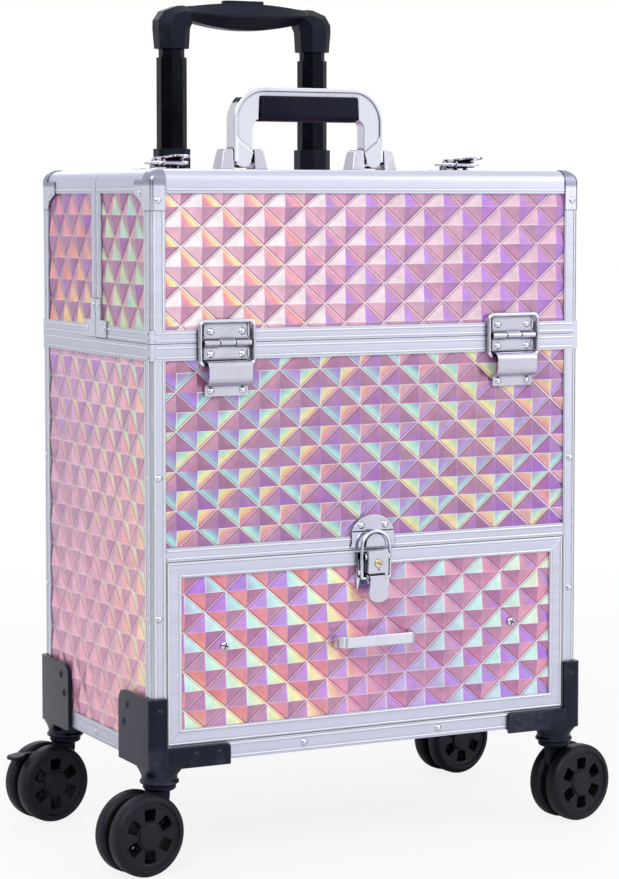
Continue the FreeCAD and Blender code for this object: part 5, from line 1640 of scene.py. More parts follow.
@dataclass(frozen=True)
class StayHinges:
    """Pressed leaves with rolled knuckles, a wire ring and the strap that the ring runs in."""

    place: float = 114.0
    half: float = 18.0
    sheet: float = 1.2
    axis: Pair = (-104.4, 364.2)
    knuckle: float = 2.0
    knuckle_gap: float = 0.15
    chamfer: float = 0.5
    corner: float = 2.4
    upper: Pair = (366.4, 380.4)
    lower: Pair = (352.2, 362.0)
    lip: float = 1.5
    lip_half: float = 0.8
    lip_rise: float = 0.6
    lip_inset: float = 2.0
    ring_y: float = -103.6
    ring_rise: Pair = (349.2, 379.2)
    ring_half: float = 20.3
    ring_wire: float = 1.35
    ring_bend: float = 3.5
    strap_half: float = 16.5
    strap_top: float = 352.0
    strap_low: float = 335.4
    strap_out: float = -110.2
    strap_bends: Pair = (4.5, 5.5)
    foot_low: float = 327.4

    def build(self) -> Pieces:
        """Make the leaves, rings and straps of both hinges.

        Returns:
            The pieces.
        """
        third = self.half / 1.5
        outer = ((-self.half, -third / 2.0), (third / 2.0, self.half))
        parts = (
            ("lid_leaves", self._leaf(self.upper, ((-third / 2.0, third / 2.0),)), "front_lid", "hinge_upper_leaves",
             0.35),
            ("base_leaves", self._leaf(self.lower, outer), "case", "hinge_lower_leaves", 0.35),
            ("wire_rings", self._ring(), "stay_rings", "stay_rings", 0.0),
            ("ring_straps", self._strap(), "case", "stay_sleeves", 0.4),
        )
        made = []
        for name, single, body, node, rounding in parts:
            finish = PLATED if rounding else CHROME
            made.append(make_piece(name, single.twice(self.place), body, finish, [node], rounding, 3, 40.0))
        return made

    @staticmethod
    def _front(across: float, height: float, depth: float) -> Triple:
        """A place in front of the case from a place on its front."""
        return across, CASE.front - depth, height

    def _leaf(self, rise: Pair, knuckles: Sequence[Pair]) -> Draft:
        """One leaf with a pressed border and its knuckles.

        Args:
            rise: Its lower and upper edges.
            knuckles: The ends of its knuckles.

        Returns:
            The leaf, about x = 0.
        """
        outline = rounded((-self.half, rise[0]), (self.half, rise[1]), self.corner)
        plate = prism(outline, 0.0, self.sheet, self._front)
        for x in (-self.half + self.lip, self.half - self.lip):
            low = (x - self.lip_half, rise[0] + self.lip_inset)
            high = (x + self.lip_half, rise[1] - self.lip_inset)
            plate.join(prism(rounded(low, high, 0.7), self.sheet - 0.2, self.sheet + self.lip_rise, self._front))
        y, z = self.axis
        way = 1.0 if rise[0] > z else -1.0
        near = rise[0] if way > 0.0 else rise[1]
        for start, end in knuckles:
            low, high = start + self.knuckle_gap, end - self.knuckle_gap
            plate.join(lathe(pin(self.knuckle, low, high, self.chamfer), (0.0, y, z), X_AXIS, 28))
            web = [(CASE.front, near - way * 1.6), (y, z + way * 0.8), (y, z + way * (self.knuckle - 0.05)),
                   (CASE.front - self.sheet, near + way * 1.0), (CASE.front, near + way * 1.0)]
            plate.join(prism(web, low, high, on_side))
        return plate

    def _ring(self) -> Draft:
        """The wire ring.

        Returns:
            The draft.
        """
        low, high = self.ring_rise
        outline = rounded((-self.ring_half, low), (self.ring_half, high), self.ring_bend, 6)
        return wire([(x, self.ring_y, z) for x, z in outline], self.ring_wire, 14, True)

    def _strap(self) -> Draft:
        """The strap that stands out round the ring's lower bar, and its riveted foot.

        Returns:
            The draft.
        """
        out, thick = self.strap_out, self.sheet
        top_bend, low_bend = self.strap_bends
        above = (out + top_bend, self.strap_top - top_bend)
        below = (out + low_bend, self.strap_low + low_bend)
        outer = [(CASE.front, self.strap_top)] + arc(above, top_bend, 90.0, 180.0, 7)
        outer += arc(below, low_bend, 180.0, 262.0, 7)
        foot = [(CASE.front - thick - 1.6, self.strap_low + 0.2), (CASE.front - thick, self.strap_low - 1.4),
                (CASE.front - thick, self.foot_low), (CASE.front, self.foot_low), (CASE.front, self.strap_low + thick)]
        inner = arc(below, low_bend - thick, 262.0, 180.0, 7) + arc(above, top_bend - thick, 180.0, 90.0, 7)
        outline = outer + foot + inner + [(CASE.front, self.strap_top - thick)]
        return prism(outline, -self.strap_half, self.strap_half, on_side)


# Draw latches


@dataclass(frozen=True)
class LatchShape:
    """A keyed draw latch, drawn flat: across it, up towards its keeper and outward."""

    keeper_half: float = 17.0
    keeper_low: float = 1.5
    fold: float = 12.8
    keeper_high: float = 24.5
    sheet: float = 1.3
    tongue_half: float = 7.5
    tongue_low: float = 2.0
    tongue_high: float = 11.3
    tongue_out: float = 5.2
    bail_half: float = 11.1
    bail_top: float = 13.1
    bail_out: float = 5.4
    bail_pivot: float = -20.0
    bail_wire: float = 1.2
    lever_half: float = 8.0
    lever_high: float = -0.4
    lever_low: float = -16.4
    lever_out: float = 9.6
    pivot: Pair = (-5.0, 6.0)
    bridge_half: float = 6.4
    flap_high: float = -18.0
    flap_low: float = -37.0
    flap_rise: float = 1.5
    lock_place: float = -9.5
    lock_radius: float = 3.0
    lock_out: float = 10.2
    key_turn: float = -25.0

    def keeper(self) -> Draft:
        """The domed plate, folded across its middle, with the tongue that the bail goes round.

        Returns:
            The draft.
        """
        wide = self.keeper_half
        lower = [(-wide - 1.2, self.keeper_low), (wide + 1.2, self.keeper_low), (wide, self.keeper_low + 3.4),
                 (wide, self.fold - 0.35), (-wide, self.fold - 0.35), (-wide, self.keeper_low + 3.4)]
        rise = self.keeper_high - self.fold
        radius = (wide ** 2 + rise ** 2) / (2.0 * rise)
        lean = math.degrees(math.asin((self.keeper_high - radius - self.fold) / -radius))
        dome = arc((0.0, self.keeper_high - radius), radius, lean, 180.0 - lean, 18)
        dome = [(wide, self.fold + 0.35)] + [spot for spot in dome if spot[1] > self.fold + 0.4]
        dome += [(-wide, self.fold + 0.35)]
        draft = prism(lower, 0.0, self.sheet, on_plan).join(prism(dome, 0.0, self.sheet - 0.15, on_plan))
        seam = oblong((-wide + 0.4, self.fold - 0.5), (wide - 0.4, self.fold + 0.5))
        draft.join(prism(seam, 0.0, 0.5, on_plan))
        half = self.tongue_half
        tongue = [(-half, self.tongue_low), (half, self.tongue_low)]
        tongue += arc((0.0, self.tongue_high - half), half, 0.0, 180.0, 16)
        return draft.join(prism(tongue, 0.0, self.tongue_out, on_plan))

    def lever(self) -> Draft:
        """The boxed lever with its pins' bosses and the flared flap on its end.

        Returns:
            The draft.
        """
        half, out = self.lever_half, self.lever_out
        face = prism(rounded((-half, self.lever_low), (half, self.lever_high), 1.0), out - 1.6, out, on_plan)
        key_hole = lathe([(0.7, out - 3.0), (0.7, out + 1.0)], (0.0, self.lock_place - 4.4, 0.0), Z_AXIS, 16)
        draft = carved(face, key_hole)
        for side in SIDES:
            wall = oblong((side * (half - 1.2), self.lever_low + 0.4), (side * (half - 0.05), -2.4))
            draft.join(prism(wall, 3.4, out - 1.2, on_plan))
        for (up, height), radius in ((self.pivot, 3.4), ((self.bail_pivot, self.bail_out), 2.4)):
            draft.join(lathe(pin(radius, 0.3 - half, half - 0.3, 0.4), (0.0, up, height), X_AXIS, 24))
        bridge = oblong((-self.bridge_half, self.flap_high - 3.0), (self.bridge_half, self.lever_low + 1.5))
        draft.join(prism(bridge, out - 3.2, out - 1.9, on_plan))
        return draft.join(self._flap())

    def _flap(self) -> Draft:
        """The flared plate that a finger lifts.

        Returns:
            The draft.
        """
        long = self.flap_high - self.flap_low
        right = [(6.3, 0.0), (6.5, 0.2), (7.1, 0.42), (7.8, 0.58), (8.0, 0.68), (7.6, 0.78), (6.4, 0.88), (4.4, 0.95),
                 (2.2, 0.99)]
        outline = right + [(0.0, 1.0)] + mirrored(right)

        def put(across: float, share: float, out: float) -> Triple:
            """A place on the flap, which leans out towards its tip."""
            lean = self.flap_rise * share ** 1.6
            return across, self.flap_high - long * share, self.lever_out + lean + out

        return prism(outline, -1.5, -0.1, put)

    def bail(self) -> Draft:
        """The wire arch from the lever's sides over the tongue.

        Returns:
            The draft.
        """
        half, out = self.bail_half, self.bail_out
        foot = 1.8
        right = [(self.lever_half - 2.0, self.bail_pivot)]
        right += arc((half - foot, self.bail_pivot + foot), foot, 270.0, 360.0, 5)
        arch = arc((0.0, self.bail_top - half), half, 0.0, 180.0, 22)
        return wire([(a, b, out) for a, b in right + arch + mirrored(right)], self.bail_wire, 14)

    def lock(self) -> Draft:
        """The lock's face with its key slot.

        Returns:
            The draft.
        """
        rim, out = self.lock_radius, self.lock_out
        profile = [(rim, self.lever_out - 0.2), (rim, out - 0.25), (rim - 0.35, out), (rim - 1.0, out),
                   (rim - 1.2, out - 0.2), (0.05, out - 0.2)]
        face = lathe(profile, ORIGIN, Z_AXIS, 36)
        slot = prism(rounded((-2.1, -0.6), (2.1, 0.6), 0.5, 3), out - 0.78, out + 0.5, on_plan)
        cut = carved(face, slot.moved(Matrix.Rotation(math.radians(self.key_turn), 4, "Z")))
        return cut.moved(Matrix.Translation((0.0, self.lock_place, 0.0)))


@dataclass(frozen=True)
class DrawLatches:
    """The latch over the drawer and the two on top of the lid."""

    shape: LatchShape = LatchShape()
    top_place: float = 119.0

    def build(self) -> Pieces:
        """Make every latch's keeper, lever, bail and lock.

        Returns:
            The pieces.
        """
        tops = {"left": Matrix.Translation((-self.top_place, CASE.split, CASE.lid_top)),
                "right": Matrix.Translation((self.top_place, CASE.split, CASE.lid_top))}
        drawer = Matrix(((1.0, 0.0, 0.0, 0.0), (0.0, 0.0, -1.0, CASE.front), (0.0, 1.0, 0.0, CASE.drawer_top),
                         (0.0, 0.0, 0.0, 1.0)))
        keeper = self.shape.keeper()
        both = keeper.moved(tops["left"]).join(keeper.moved(tops["right"]))
        made = [
            make_piece("top_keepers", both, "case", PLATED, ["top_latch_keepers"], 0.45),
            make_piece("drawer_keeper", keeper.moved(drawer), "case", PLATED, ["drawer_latch_keeper"], 0.45),
        ]
        for stem, end, place in (("drawer_latch", "", drawer), ("top_latch", "_left", tops["left"]),
                                 ("top_latch", "_right", tops["right"])):
            made += self._moving(stem, end, place)
        return made

    def _moving(self, stem: str, end: str, place: Matrix) -> Pieces:
        """Make one latch's moving pieces.

        Args:
            stem: Start of the names of its bodies.
            end: End of those names.
            place: Where the latch lies on the case.

        Returns:
            The lever, the bail and the lock.
        """
        lever, bail = f"{stem}_lever{end}", f"{stem}_bail{end}"
        shape = self.shape
        return [
            make_piece(f"{stem}_plate_lever{end}", shape.lever().moved(place), lever, PLATED, [lever], 0.4),
            make_piece(f"{stem}_wire_bail{end}", shape.bail().moved(place), bail, CHROME, [bail]),
            make_piece(f"{stem}_lock_face{end}", shape.lock().moved(place), lever, BRASS),
        ]


# Drawer pull and screws


@dataclass(frozen=True)
class DrawerPull:
    """A flat strap bent into a low bridge, its edges rounded over."""

    half: float = 31.0
    rise: Pair = (147.5, 155.5)
    seat: float = -99.0
    out: float = -114.0
    strap: float = 3.0
    bend: float = 8.0

    def build(self) -> Pieces:
        """Make the strap.

        Returns:
            The pieces.
        """
        half, strap, bend = self.half, self.strap, self.bend
        outer = [(half, self.seat)] + arc((half - bend, self.out + bend), bend, 360.0, 270.0, 8)
        inner = arc((half - bend, self.out + bend), bend - strap, 270.0, 360.0, 8) + [(half - strap, self.seat)]
        outline = outer + mirrored(outer) + mirrored(inner) + inner
        draft = prism(outline, *self.rise, on_plan)
        return [make_piece("pull_strap", draft, "drawer", CHROME, ["drawer_pull"], 0.7, 3, 40.0)]


@dataclass(frozen=True)
class PanelScrews:
    """The two cross-slotted screws in the drawer's front."""

    place: float = 115.0
    height: float = 154.5
    seat: float = -99.0
    radius: float = 3.2
    out: float = 3.1
    slot_half: Pair = (2.3, 0.5)
    slot_depth: float = 1.3
    turn: float = 20.0

    def build(self) -> Pieces:
        """Make both heads.

        Returns:
            The pieces.
        """
        top, wide = self.out, self.radius
        profile = [(wide, 0.0), (wide, top - 1.3), (wide - 0.4, top - 0.6), (wide - 1.2, top - 0.12), (0.05, top)]
        head = lathe(profile, ORIGIN, -Y_AXIS, 32)
        long, narrow = self.slot_half
        for a, b in ((long, narrow), (narrow, long)):
            head = carved(head, prism(oblong((-a, -b), (a, b)), self.slot_depth - top, -top - 1.0, on_front))
        turned = head.moved(Matrix.Rotation(math.radians(self.turn), 4, "Y"))
        both = turned.twice(self.place, self.seat, self.height)
        return [make_piece("cross_screws", both, "drawer", CHROME, ["drawer_screws"])]


# Carry handle


@dataclass(frozen=True)
class CarryHandle:
    """Chrome bow with a raised outer rim, black grip and two feet with cheeks."""

    foot_place: float = 53.5
    foot_y: float = 4.3
    foot_width: float = 38.0
    foot_depth: float = 16.0
    foot_height: float = 16.0
    foot_lean: float = 1.8
    pivot_height: float = 491.2
    leg_inner: float = 45.5
    leg_outer: float = 61.5
    leg_gap: float = 0.35
    bow_top: float = 543.6
    bar_bottom: float = 536.8
    bow_radius: float = 25.0
    bow_depth: float = 13.4
    rim: float = 3.0
    rim_lap: float = 0.4
    recess: float = 1.1
    grip_half: float = 40.0
    grip_low: float = 518.8
    grip_depth: float = 14.6
    grip_rounds: Pair = (5.0, 1.2)
    grip_taper: Pair = (0.9, 0.93)
    wedge_inset: float = 0.15
    leg_end: float = 6.4

    def build(self) -> Pieces:
        """Make the bow, the grip and the feet.

        Returns:
            The pieces.
        """
        bow = self._rim().join(self._web()).join(self._wedges())
        return [
            make_piece("carry_bow", bow, "carry_handle", CHROME, ["carry_handle_bow"], 0.7),
            make_piece("carry_grip", self._grip(), "carry_handle", GRIP, ["carry_handle_grip"], 0.6),
            make_piece("carry_feet", self._feet(), "case", PLATED, ["carry_handle_feet"], 1.0),
        ]

    def _stand(self, across: float, height: float, depth: float) -> Triple:
        """A place on the handle from a place on its upright outline."""
        return across, self.foot_y + depth, height

    def _arch(self, inset: float) -> list[Pair]:
        """Outline of the bow from the right leg over to the left one, set in from its outside.

        Args:
            inset: How far inside the bow's outer face it runs.

        Returns:
            The outline's points.
        """
        radius = self.bow_radius - inset
        centre = (self.leg_outer - self.bow_radius, self.bow_top - self.bow_radius)
        right = arc(centre, radius, 0.0, 90.0, 14)
        return right + mirrored(right)

    def _rim(self) -> Draft:
        """The raised strap round the outside of the bow.

        Returns:
            The draft.
        """
        outer = self._arch(0.0)
        inner = self._arch(self.rim)
        low = self.pivot_height - 2.0
        ends = [(self.leg_outer, low), (self.leg_outer - self.rim, low)]
        outline = [ends[0]] + outer + [(-a, b) for a, b in ends] + list(reversed(inner)) + [ends[1]]
        return prism(outline, -self.bow_depth / 2.0, self.bow_depth / 2.0, self._stand)

    def _web(self) -> Draft:
        """The set-back face between the rim and the grip, with its corner gussets.

        Returns:
            The draft.
        """
        low = self.pivot_height
        tuck = self.rim - self.rim_lap
        outer = [(self.leg_outer - tuck, low)] + self._arch(tuck) + [(tuck - self.leg_outer, low)]
        gusset = self.grip_half + 0.1
        knee = self.leg_inner - gusset
        side = [(-self.leg_inner, low), (-self.leg_inner, self.grip_low - 4.0)]
        side += arc((-gusset, self.grip_low - 4.0), knee, 180.0, 100.0, 7)[1:]
        side += [(-gusset, self.bar_bottom)]
        inner = side + mirrored(side)
        half = self.bow_depth / 2.0 - self.recess
        return prism(outer + inner, -half, half, self._stand)

    def _wedges(self) -> Draft:
        """The flush ends of the legs below the gussets.

        Returns:
            The draft.
        """
        both = Draft()
        half = self.bow_depth / 2.0 - self.wedge_inset
        tuck = self.rim - self.rim_lap
        sweep = [
            (self.leg_outer - tuck, self.grip_low - 8.0),
            (self.leg_outer - tuck - 1.6, self.grip_low - 13.5),
            (self.leg_inner + 5.0, self.grip_low - 18.6),
            (self.leg_inner, self.grip_low - 22.5),
        ]
        middle = (self.leg_inner + self.leg_outer) / 2.0
        end = arc((middle, self.pivot_height), self.leg_end, 180.0, 360.0, 12)
        for side in SIDES:
            outline = [(side * a, b) for a, b in sweep + end]
            both.join(prism(outline, -half, half, self._stand))
        return both

    def _grip(self) -> Draft:
        """The black grip, with its lower edges well rounded.

        Returns:
            The draft.
        """
        half = self.grip_depth / 2.0
        low, high = self.grip_low, self.bar_bottom + 0.2
        soft, crisp = self.grip_rounds
        section = arc((soft - half, low + soft), soft, 180.0, 270.0, 7)
        section += arc((half - soft, low + soft), soft, 270.0, 360.0, 7)
        section += arc((half - crisp, high - crisp), crisp, 0.0, 90.0, 3)
        section += arc((crisp - half, high - crisp), crisp, 90.0, 180.0, 3)
        middle = (low + high) / 2.0
        half, (long, share) = self.grip_half, self.grip_taper
        ends = ((-half, share), (long - half, 1.0), (half - long, 1.0), (half, share))
        return loft([[(across, self.foot_y + depth * share, middle + (height - middle) * share)
                      for depth, height in section] for across, share in ends])

    def _feet(self) -> Draft:
        """The two feet: cheeks that lean in towards the top, joined by a low saddle.

        Returns:
            The draft.
        """
        half = self.foot_width / 2.0
        slot = (self.leg_outer - self.leg_inner) / 2.0 + self.leg_gap
        base = CASE.lid_top
        top = base + self.foot_height
        saddle = base + 1.3
        right = [(slot, saddle), (slot, top - 0.8), (slot + 0.8, top)]
        right += [(half - 4.6, top), (half - 3.0, top - 1.2), (half - 2.2, top - 4.0), (half, base)]
        outline = right + mirrored(right)

        def put(across: float, height: float, depth: float) -> Triple:
            """A place on a foot, whose faces lean back as they rise."""
            share = 1.0 - self.foot_lean * max(0.0, height - base) / (self.foot_height * self.foot_depth / 2.0)
            return across, self.foot_y + depth * share, height

        return prism(outline, -self.foot_depth / 2.0, self.foot_depth / 2.0, put).twice(self.foot_place)


# Trolley


@dataclass(frozen=True)
class GripRing:
    """One section of the trolley's grip: middle, lean from level, half sizes and the flats' shares."""

    across: float
    height: float
    lean: float
    half_width: float
    half_depth: float
    flat: float
    edge: float


@dataclass(frozen=True)
class TrolleyGrip:
    """Arched crossbar on two faceted boots, with a well for the push button."""

    rear: float = 113.3
    rings: tuple[GripRing, ...] = (
        GripRing(60.0, 576.7, 90.0, 12.1, 12.3, 0.45, 0.45),
        GripRing(60.0, 579.0, 90.0, 12.3, 12.5, 0.45, 0.45),
        GripRing(60.2, 592.0, 90.0, 13.2, 13.0, 0.45, 0.45),
        GripRing(59.9, 595.6, 79.8, 13.5, 13.0, 0.43, 0.46),
        GripRing(57.0, 600.3, 66.7, 12.4, 13.0, 0.4, 0.48),
        GripRing(51.4, 602.9, 44.0, 8.7, 13.0, 0.3, 0.5),
    )
    seam_place: float = 44.0
    seam_half_height: float = 6.0
    seam_lean: float = 30.0
    seam_steps: tuple[Triple, ...] = ((4.6, 0.0, 12.8), (4.0, 0.7, 12.2))
    seam_flats: Pair = (0.14, 0.5)
    middle_half_height: float = 10.3
    seam_middle: float = 603.5
    bar_middle: float = 602.3
    bar_depth: float = 13.0
    bar_steps: int = 12
    bar_share: float = 0.985
    bar_flats: Pair = (0.1, 0.5)
    button_half: Pair = (17.3, 6.3)
    well_floor: float = 604.3

    def build(self) -> Pieces:
        """Make the grip.

        Returns:
            The pieces.
        """
        tall = self.seam_half_height / math.cos(math.radians(self.seam_lean))
        seam = [GripRing(self.seam_place + out, self.seam_middle, self.seam_lean, tall - less, deep, *self.seam_flats)
                for out, less, deep in self.seam_steps]
        boot = [*self.rings, *seam]
        skin = [self._ring(ring, 1.0) for ring in boot] + self._bar()
        skin += [self._ring(ring, -1.0) for ring in reversed(boot)]
        shape = carved(loft(skin), self._well())
        return [make_piece("trolley_crossbar", shape, "trolley_inner", PLASTIC, ["trolley_grip"],
                           0.4, 2, 24.0)]

    def _ring(self, ring: GripRing, side: float) -> list[Triple]:
        """Points of a section.

        Args:
            ring: The section on the right side.
            side: 1 for the right side, -1 for its mirror image.

        Returns:
            Eight points round the section.
        """
        lean = math.radians(ring.lean)
        outward = Vector((math.sin(lean), 0.0, math.cos(lean)))
        spots = [
            (1.0, ring.edge), (ring.flat, 1.0), (-ring.flat, 1.0), (-1.0, ring.edge),
            (-1.0, -ring.edge), (-ring.flat, -1.0), (ring.flat, -1.0), (1.0, -ring.edge),
        ]
        middle = Vector((ring.across, self.rear, ring.height))
        points = [middle + outward * (n * ring.half_width) + Y_AXIS * (d * ring.half_depth) for n, d in spots]
        return [(side * point.x, point.y, point.z) for point in points]

    def _bar(self) -> list[list[Triple]]:
        """Sections of the crossbar, fullest in its middle.

        Returns:
            The sections' points.
        """
        made = []
        for step in range(self.bar_steps + 1):
            across = self.seam_place * (1.0 - 2.0 * step / self.bar_steps) * self.bar_share
            share = 1.0 - (across / self.seam_place) ** 2
            half = self.seam_half_height + (self.middle_half_height - self.seam_half_height) * share
            middle = self.seam_middle + (self.bar_middle - self.seam_middle) * share
            ring = GripRing(abs(across), middle, 0.0, half, self.bar_depth, *self.bar_flats)
            points = self._ring(ring, 1.0)
            made.append([(across, y, z) for _, y, z in points])
        return made

    def _well(self) -> Draft:
        """The pocket that the button sinks into.

        Returns:
            The draft.
        """
        half, deep = self.button_half
        top = self.bar_middle + 3.0 * self.middle_half_height
        return prism(oblong((-half, self.rear - deep), (half, self.rear + deep)), self.well_floor, top, on_plan)


# Casters


@dataclass(frozen=True)
class Casters:
    """Corner brackets with their sockets, and swivelling forks that carry twin wheels."""

    swivel: Pair = (159.5, 89.0)
    trail: float = 16.5
    turn: float = 11.0
    radius: float = 28.5
    inner_face: float = 3.0
    outer_face: float = 15.0
    windows: int = 6
    window_from: float = 10.2
    window_to: float = 18.9
    window_half_angle: float = 15.5
    window_shares: Triple = (0.86, 1.3, 1.05)
    window_rounds: Pair = (1.2, 1.0)
    arm_half: float = 2.6
    hub: float = 8.0
    head: float = 11.5
    head_rise: Pair = (58.2, 61.2)
    tongue_rise: Pair = (49.4, 52.0)
    tongue_neck: float = 36.0
    tongue_droop: float = 0.12
    socket: float = 12.5
    socket_low: float = 61.5
    collar: float = 13.6
    collar_high: float = 63.9
    outside: Pair = (173.0, 104.0)
    inside: Pair = (170.05, 101.05)
    bracket_rise: Pair = (72.5, 121.5)
    cheek_end: float = 48.0
    leg_end: float = 159.6
    foot_end: float = 112.0
    foot_top: float = 87.1
    foot_round: float = 3.0
    plate_inset: float = 0.2
    plate_end: float = 117.0
    plate_top: float = 75.4
    arris: float = 3.5
    cheek_corner: float = 9.0
    funnel_steps: int = 40
    wheel_steps: int = 72

    def build(self) -> Pieces:
        """Make the brackets and all four casters.

        Returns:
            The pieces.
        """
        brackets = Draft()
        corner = self._bracket()
        for side, way in itertools.product(SIDES, repeat=2):
            brackets.join(corner.moved(Matrix.Diagonal((side, way, 1.0, 1.0))))
        made = [make_piece("corner_brackets", brackets, "case", ENAMEL, ["caster_brackets"], 0.8)]
        wheel, fork = self._wheel(), self._fork()
        for (end, way), (side, hand) in itertools.product((("front", -1.0), ("rear", 1.0)),
                                                          (("left", -1.0), ("right", 1.0))):
            heading = math.radians(self.turn) + (0.0 if hand > 0.0 else math.pi)
            spot = Matrix.Translation((hand * self.swivel[0], way * self.swivel[1], 0.0))
            place = spot @ Matrix.Rotation(heading, 4, "Z")
            both = Draft()
            for facing in (0.0, math.pi):
                axle = Matrix.Translation((self.trail, 0.0, self.radius)) @ Matrix.Rotation(facing, 4, "Z")
                both.join(wheel.moved(place @ axle))
            node = f"caster_fork_{end}_{side}"
            carrier = Draft().join(fork)
            if end == "rear":
                carrier.join(self._brake_tongue())
            made.append(make_piece(f"swivel_fork_{end}_{side}", carrier.moved(place), node, PLASTIC,
                                   [node], 0.7, 3, 30.0))
            node = f"caster_wheels_{end}_{side}"
            made.append(make_piece(f"twin_wheels_{end}_{side}", both, node, WHEEL, [node], 0.45, 3,
                                   30.0))
        return made

    def _bracket(self) -> Draft:
        """The bracket of the rear right corner, its socket funnelled out of the corner.

        Returns:
            The draft.
        """
        (x, y), (x_in, y_in), (low, high), arris = self.outside, self.inside, self.bracket_rise, self.arris
        plan = [(x, self.cheek_end)] + arc((x - arris, y - arris), arris, 0.0, 90.0, 8)
        plan += [(self.leg_end, y), (self.leg_end, y_in), (x_in, y_in), (x_in, self.cheek_end)]
        wall = prism(plan, low, high, on_plan)
        bend = self.cheek_corner
        spare = [(self.cheek_end - 0.5, high + 1.0), (self.cheek_end + bend, high + 1.0)]
        spare += arc((self.cheek_end + bend, high - bend), bend, 90.0, 180.0, 8)
        spare += [(self.cheek_end - 0.5, high - bend)]
        draft = carved(wall, prism(spare, x_in - 4.0, x + 2.0, on_side))
        foot = [(self.leg_end + 0.4, low), (self.leg_end + 0.4, self.foot_top)]
        turn = self.foot_round
        foot += arc((self.foot_end + turn, self.foot_top - turn), turn, 90.0, 180.0, 5) + [(self.foot_end, low)]
        draft.join(prism(foot, y_in, y - 0.05, on_front))
        inset = self.plate_inset
        plate = [(x - inset, self.cheek_end + inset), (x - inset, y - arris), (x - arris, y - inset),
                 (self.plate_end, y - inset), (self.plate_end, self.cheek_end + inset)]
        draft.join(prism(plate, low + 0.05, self.plate_top, on_plan))
        return draft.join(self._funnel())

    def _funnel(self) -> Draft:
        """The socket: square where it leaves the corner, round at its lower rim.

        Returns:
            The draft.
        """
        mid_x, mid_y = self.swivel
        low = self.socket_low
        rows = ((low, 13.2, 1.0), (low + 0.4, self.collar, 1.0), (self.collar_high - 0.5, self.collar, 1.0),
                (self.collar_high, 13.0, 1.0), (self.collar_high + 0.3, self.socket, 1.0), (low + 5.0, 12.4, 1.0),
                (low + 7.4, 12.7, 0.72), (low + 9.4, 13.1, 0.46), (low + 11.4, 13.4, 0.3),
                (self.plate_top - 0.6, 13.45, 0.26))
        rings = []
        for height, half, roundness in rows:
            ring = []
            for step in range(self.funnel_steps):
                turn = 2.0 * math.pi * (step + 0.5) / self.funnel_steps
                aim = (math.cos(turn), math.sin(turn))
                ring.append((mid_x + half * math.copysign(abs(aim[0]) ** roundness, aim[0]),
                             mid_y + half * math.copysign(abs(aim[1]) ** roundness, aim[1]), height))
            rings.append(ring)
        return loft(rings)

    def _fork(self) -> Draft:
        """The swivel head and the bowed arm that runs down between the wheels, trailing along +X.

        Returns:
            The draft.
        """
        low, high = self.head_rise
        profile = [(9.4, low - 1.6), (self.head - 0.7, low - 0.9), (self.head, low), (self.head, high - 0.6),
                   (self.head - 0.8, high)]
        draft = lathe(profile, ORIGIN, Z_AXIS, 40)
        back = [(-7.4, low), (-7.2, 51.0), (-5.8, 43.5), (-2.2, 36.0), (3.2, 30.4)]
        hub = arc((self.trail, self.radius), self.hub, 205.0, 370.0, 14)
        shin = [(22.8, 36.0), (18.6, 42.0), (14.4, 47.6), (11.4, 53.0), (10.4, low)]
        return draft.join(prism(back + hub + shin, -self.arm_half, self.arm_half, on_front))

    def _brake_tongue(self) -> Draft:
        """The foot brake of a rear caster: a stem between the wheels with a wider pad beyond them.

        Returns:
            The draft.
        """
        slim, neck, (low, high) = self.arm_half - 0.3, self.tongue_neck, self.tongue_rise
        stem = prism(oblong((8.0, -slim), (neck + 1.0, slim)), low, high, on_plan)
        edge = [(neck, -slim), (neck + 3.5, -6.4), (neck + 10.0, -6.4), (neck + 12.4, -4.2)]
        pad = edge + [(a, -b) for a, b in reversed(edge)]
        droop = self.tongue_droop
        return stem.join(prism(pad, low + 0.3, high + 0.3, lambda a, b, c: (a, b, c + droop * (neck - a))))

    def _profile(self) -> list[Pair]:
        """Half section of one wheel from its inner face out to its hub cap.

        Returns:
            The points.
        """
        rim, face, back = self.radius, self.outer_face, self.inner_face
        tread = [(rim - 3.4, back), (rim - 1.4, back + 0.6), (rim - 0.4, back + 1.6), (rim, back + 3.0),
                 (rim, face - 4.6)]
        shoulder = [(rim - 0.2, face - 3.2), (rim - 0.8, face - 1.8), (rim - 1.8, face - 0.7), (rim - 3.2, face - 0.1),
                    (rim - 4.6, face)]
        step = [(rim - 5.2, face - 0.3), (rim - 5.6, face - 1.5), (rim - 6.9, face - 1.7), (rim - 8.0, face - 1.5)]
        disc = [(rim - 8.8, face - 2.0), (9.4, face - 2.2), (8.9, face - 1.0), (8.3, face - 0.7)]
        cap = [(7.0, face - 0.65), (6.6, face - 1.0), (6.2, face - 0.7), (0.05, face - 0.5)]
        return [(3.05, back)] + tread + shoulder + step + disc + cap

    def _wheel(self) -> Draft:
        """One wheel about the Y axis, its outer face towards -Y, with its windows cut.

        Returns:
            The draft.
        """
        turns = [2.0 * math.pi * step / self.wheel_steps for step in range(self.wheel_steps)]
        rings = [[(radius * math.cos(turn), -height, radius * math.sin(turn)) for turn in turns]
                 for radius, height in self._profile()]
        cutters = Draft()
        wide, top, foot = self.window_half_angle, self.window_to, self.window_from
        crown, knee, toe = (wide * share for share in self.window_shares)
        shoulder, bend = top - self.window_rounds[0], foot + self.window_rounds[1]
        for number in range(self.windows):
            middle = 360.0 * (number + 0.5) / self.windows
            outline = arc(ORIGIN[:2], top, middle - crown, middle + crown, 6)
            outline += [polar(shoulder, middle + wide), polar(bend, middle + knee)]
            outline += arc(ORIGIN[:2], foot, middle + toe, middle - toe, 4)
            outline += [polar(bend, middle - knee), polar(shoulder, middle - wide)]
            cutters.join(prism(outline, -self.outer_face - 2.0, -self.inner_face + 2.0, on_front))
        return carved(loft(rings), cutters)


# The studio


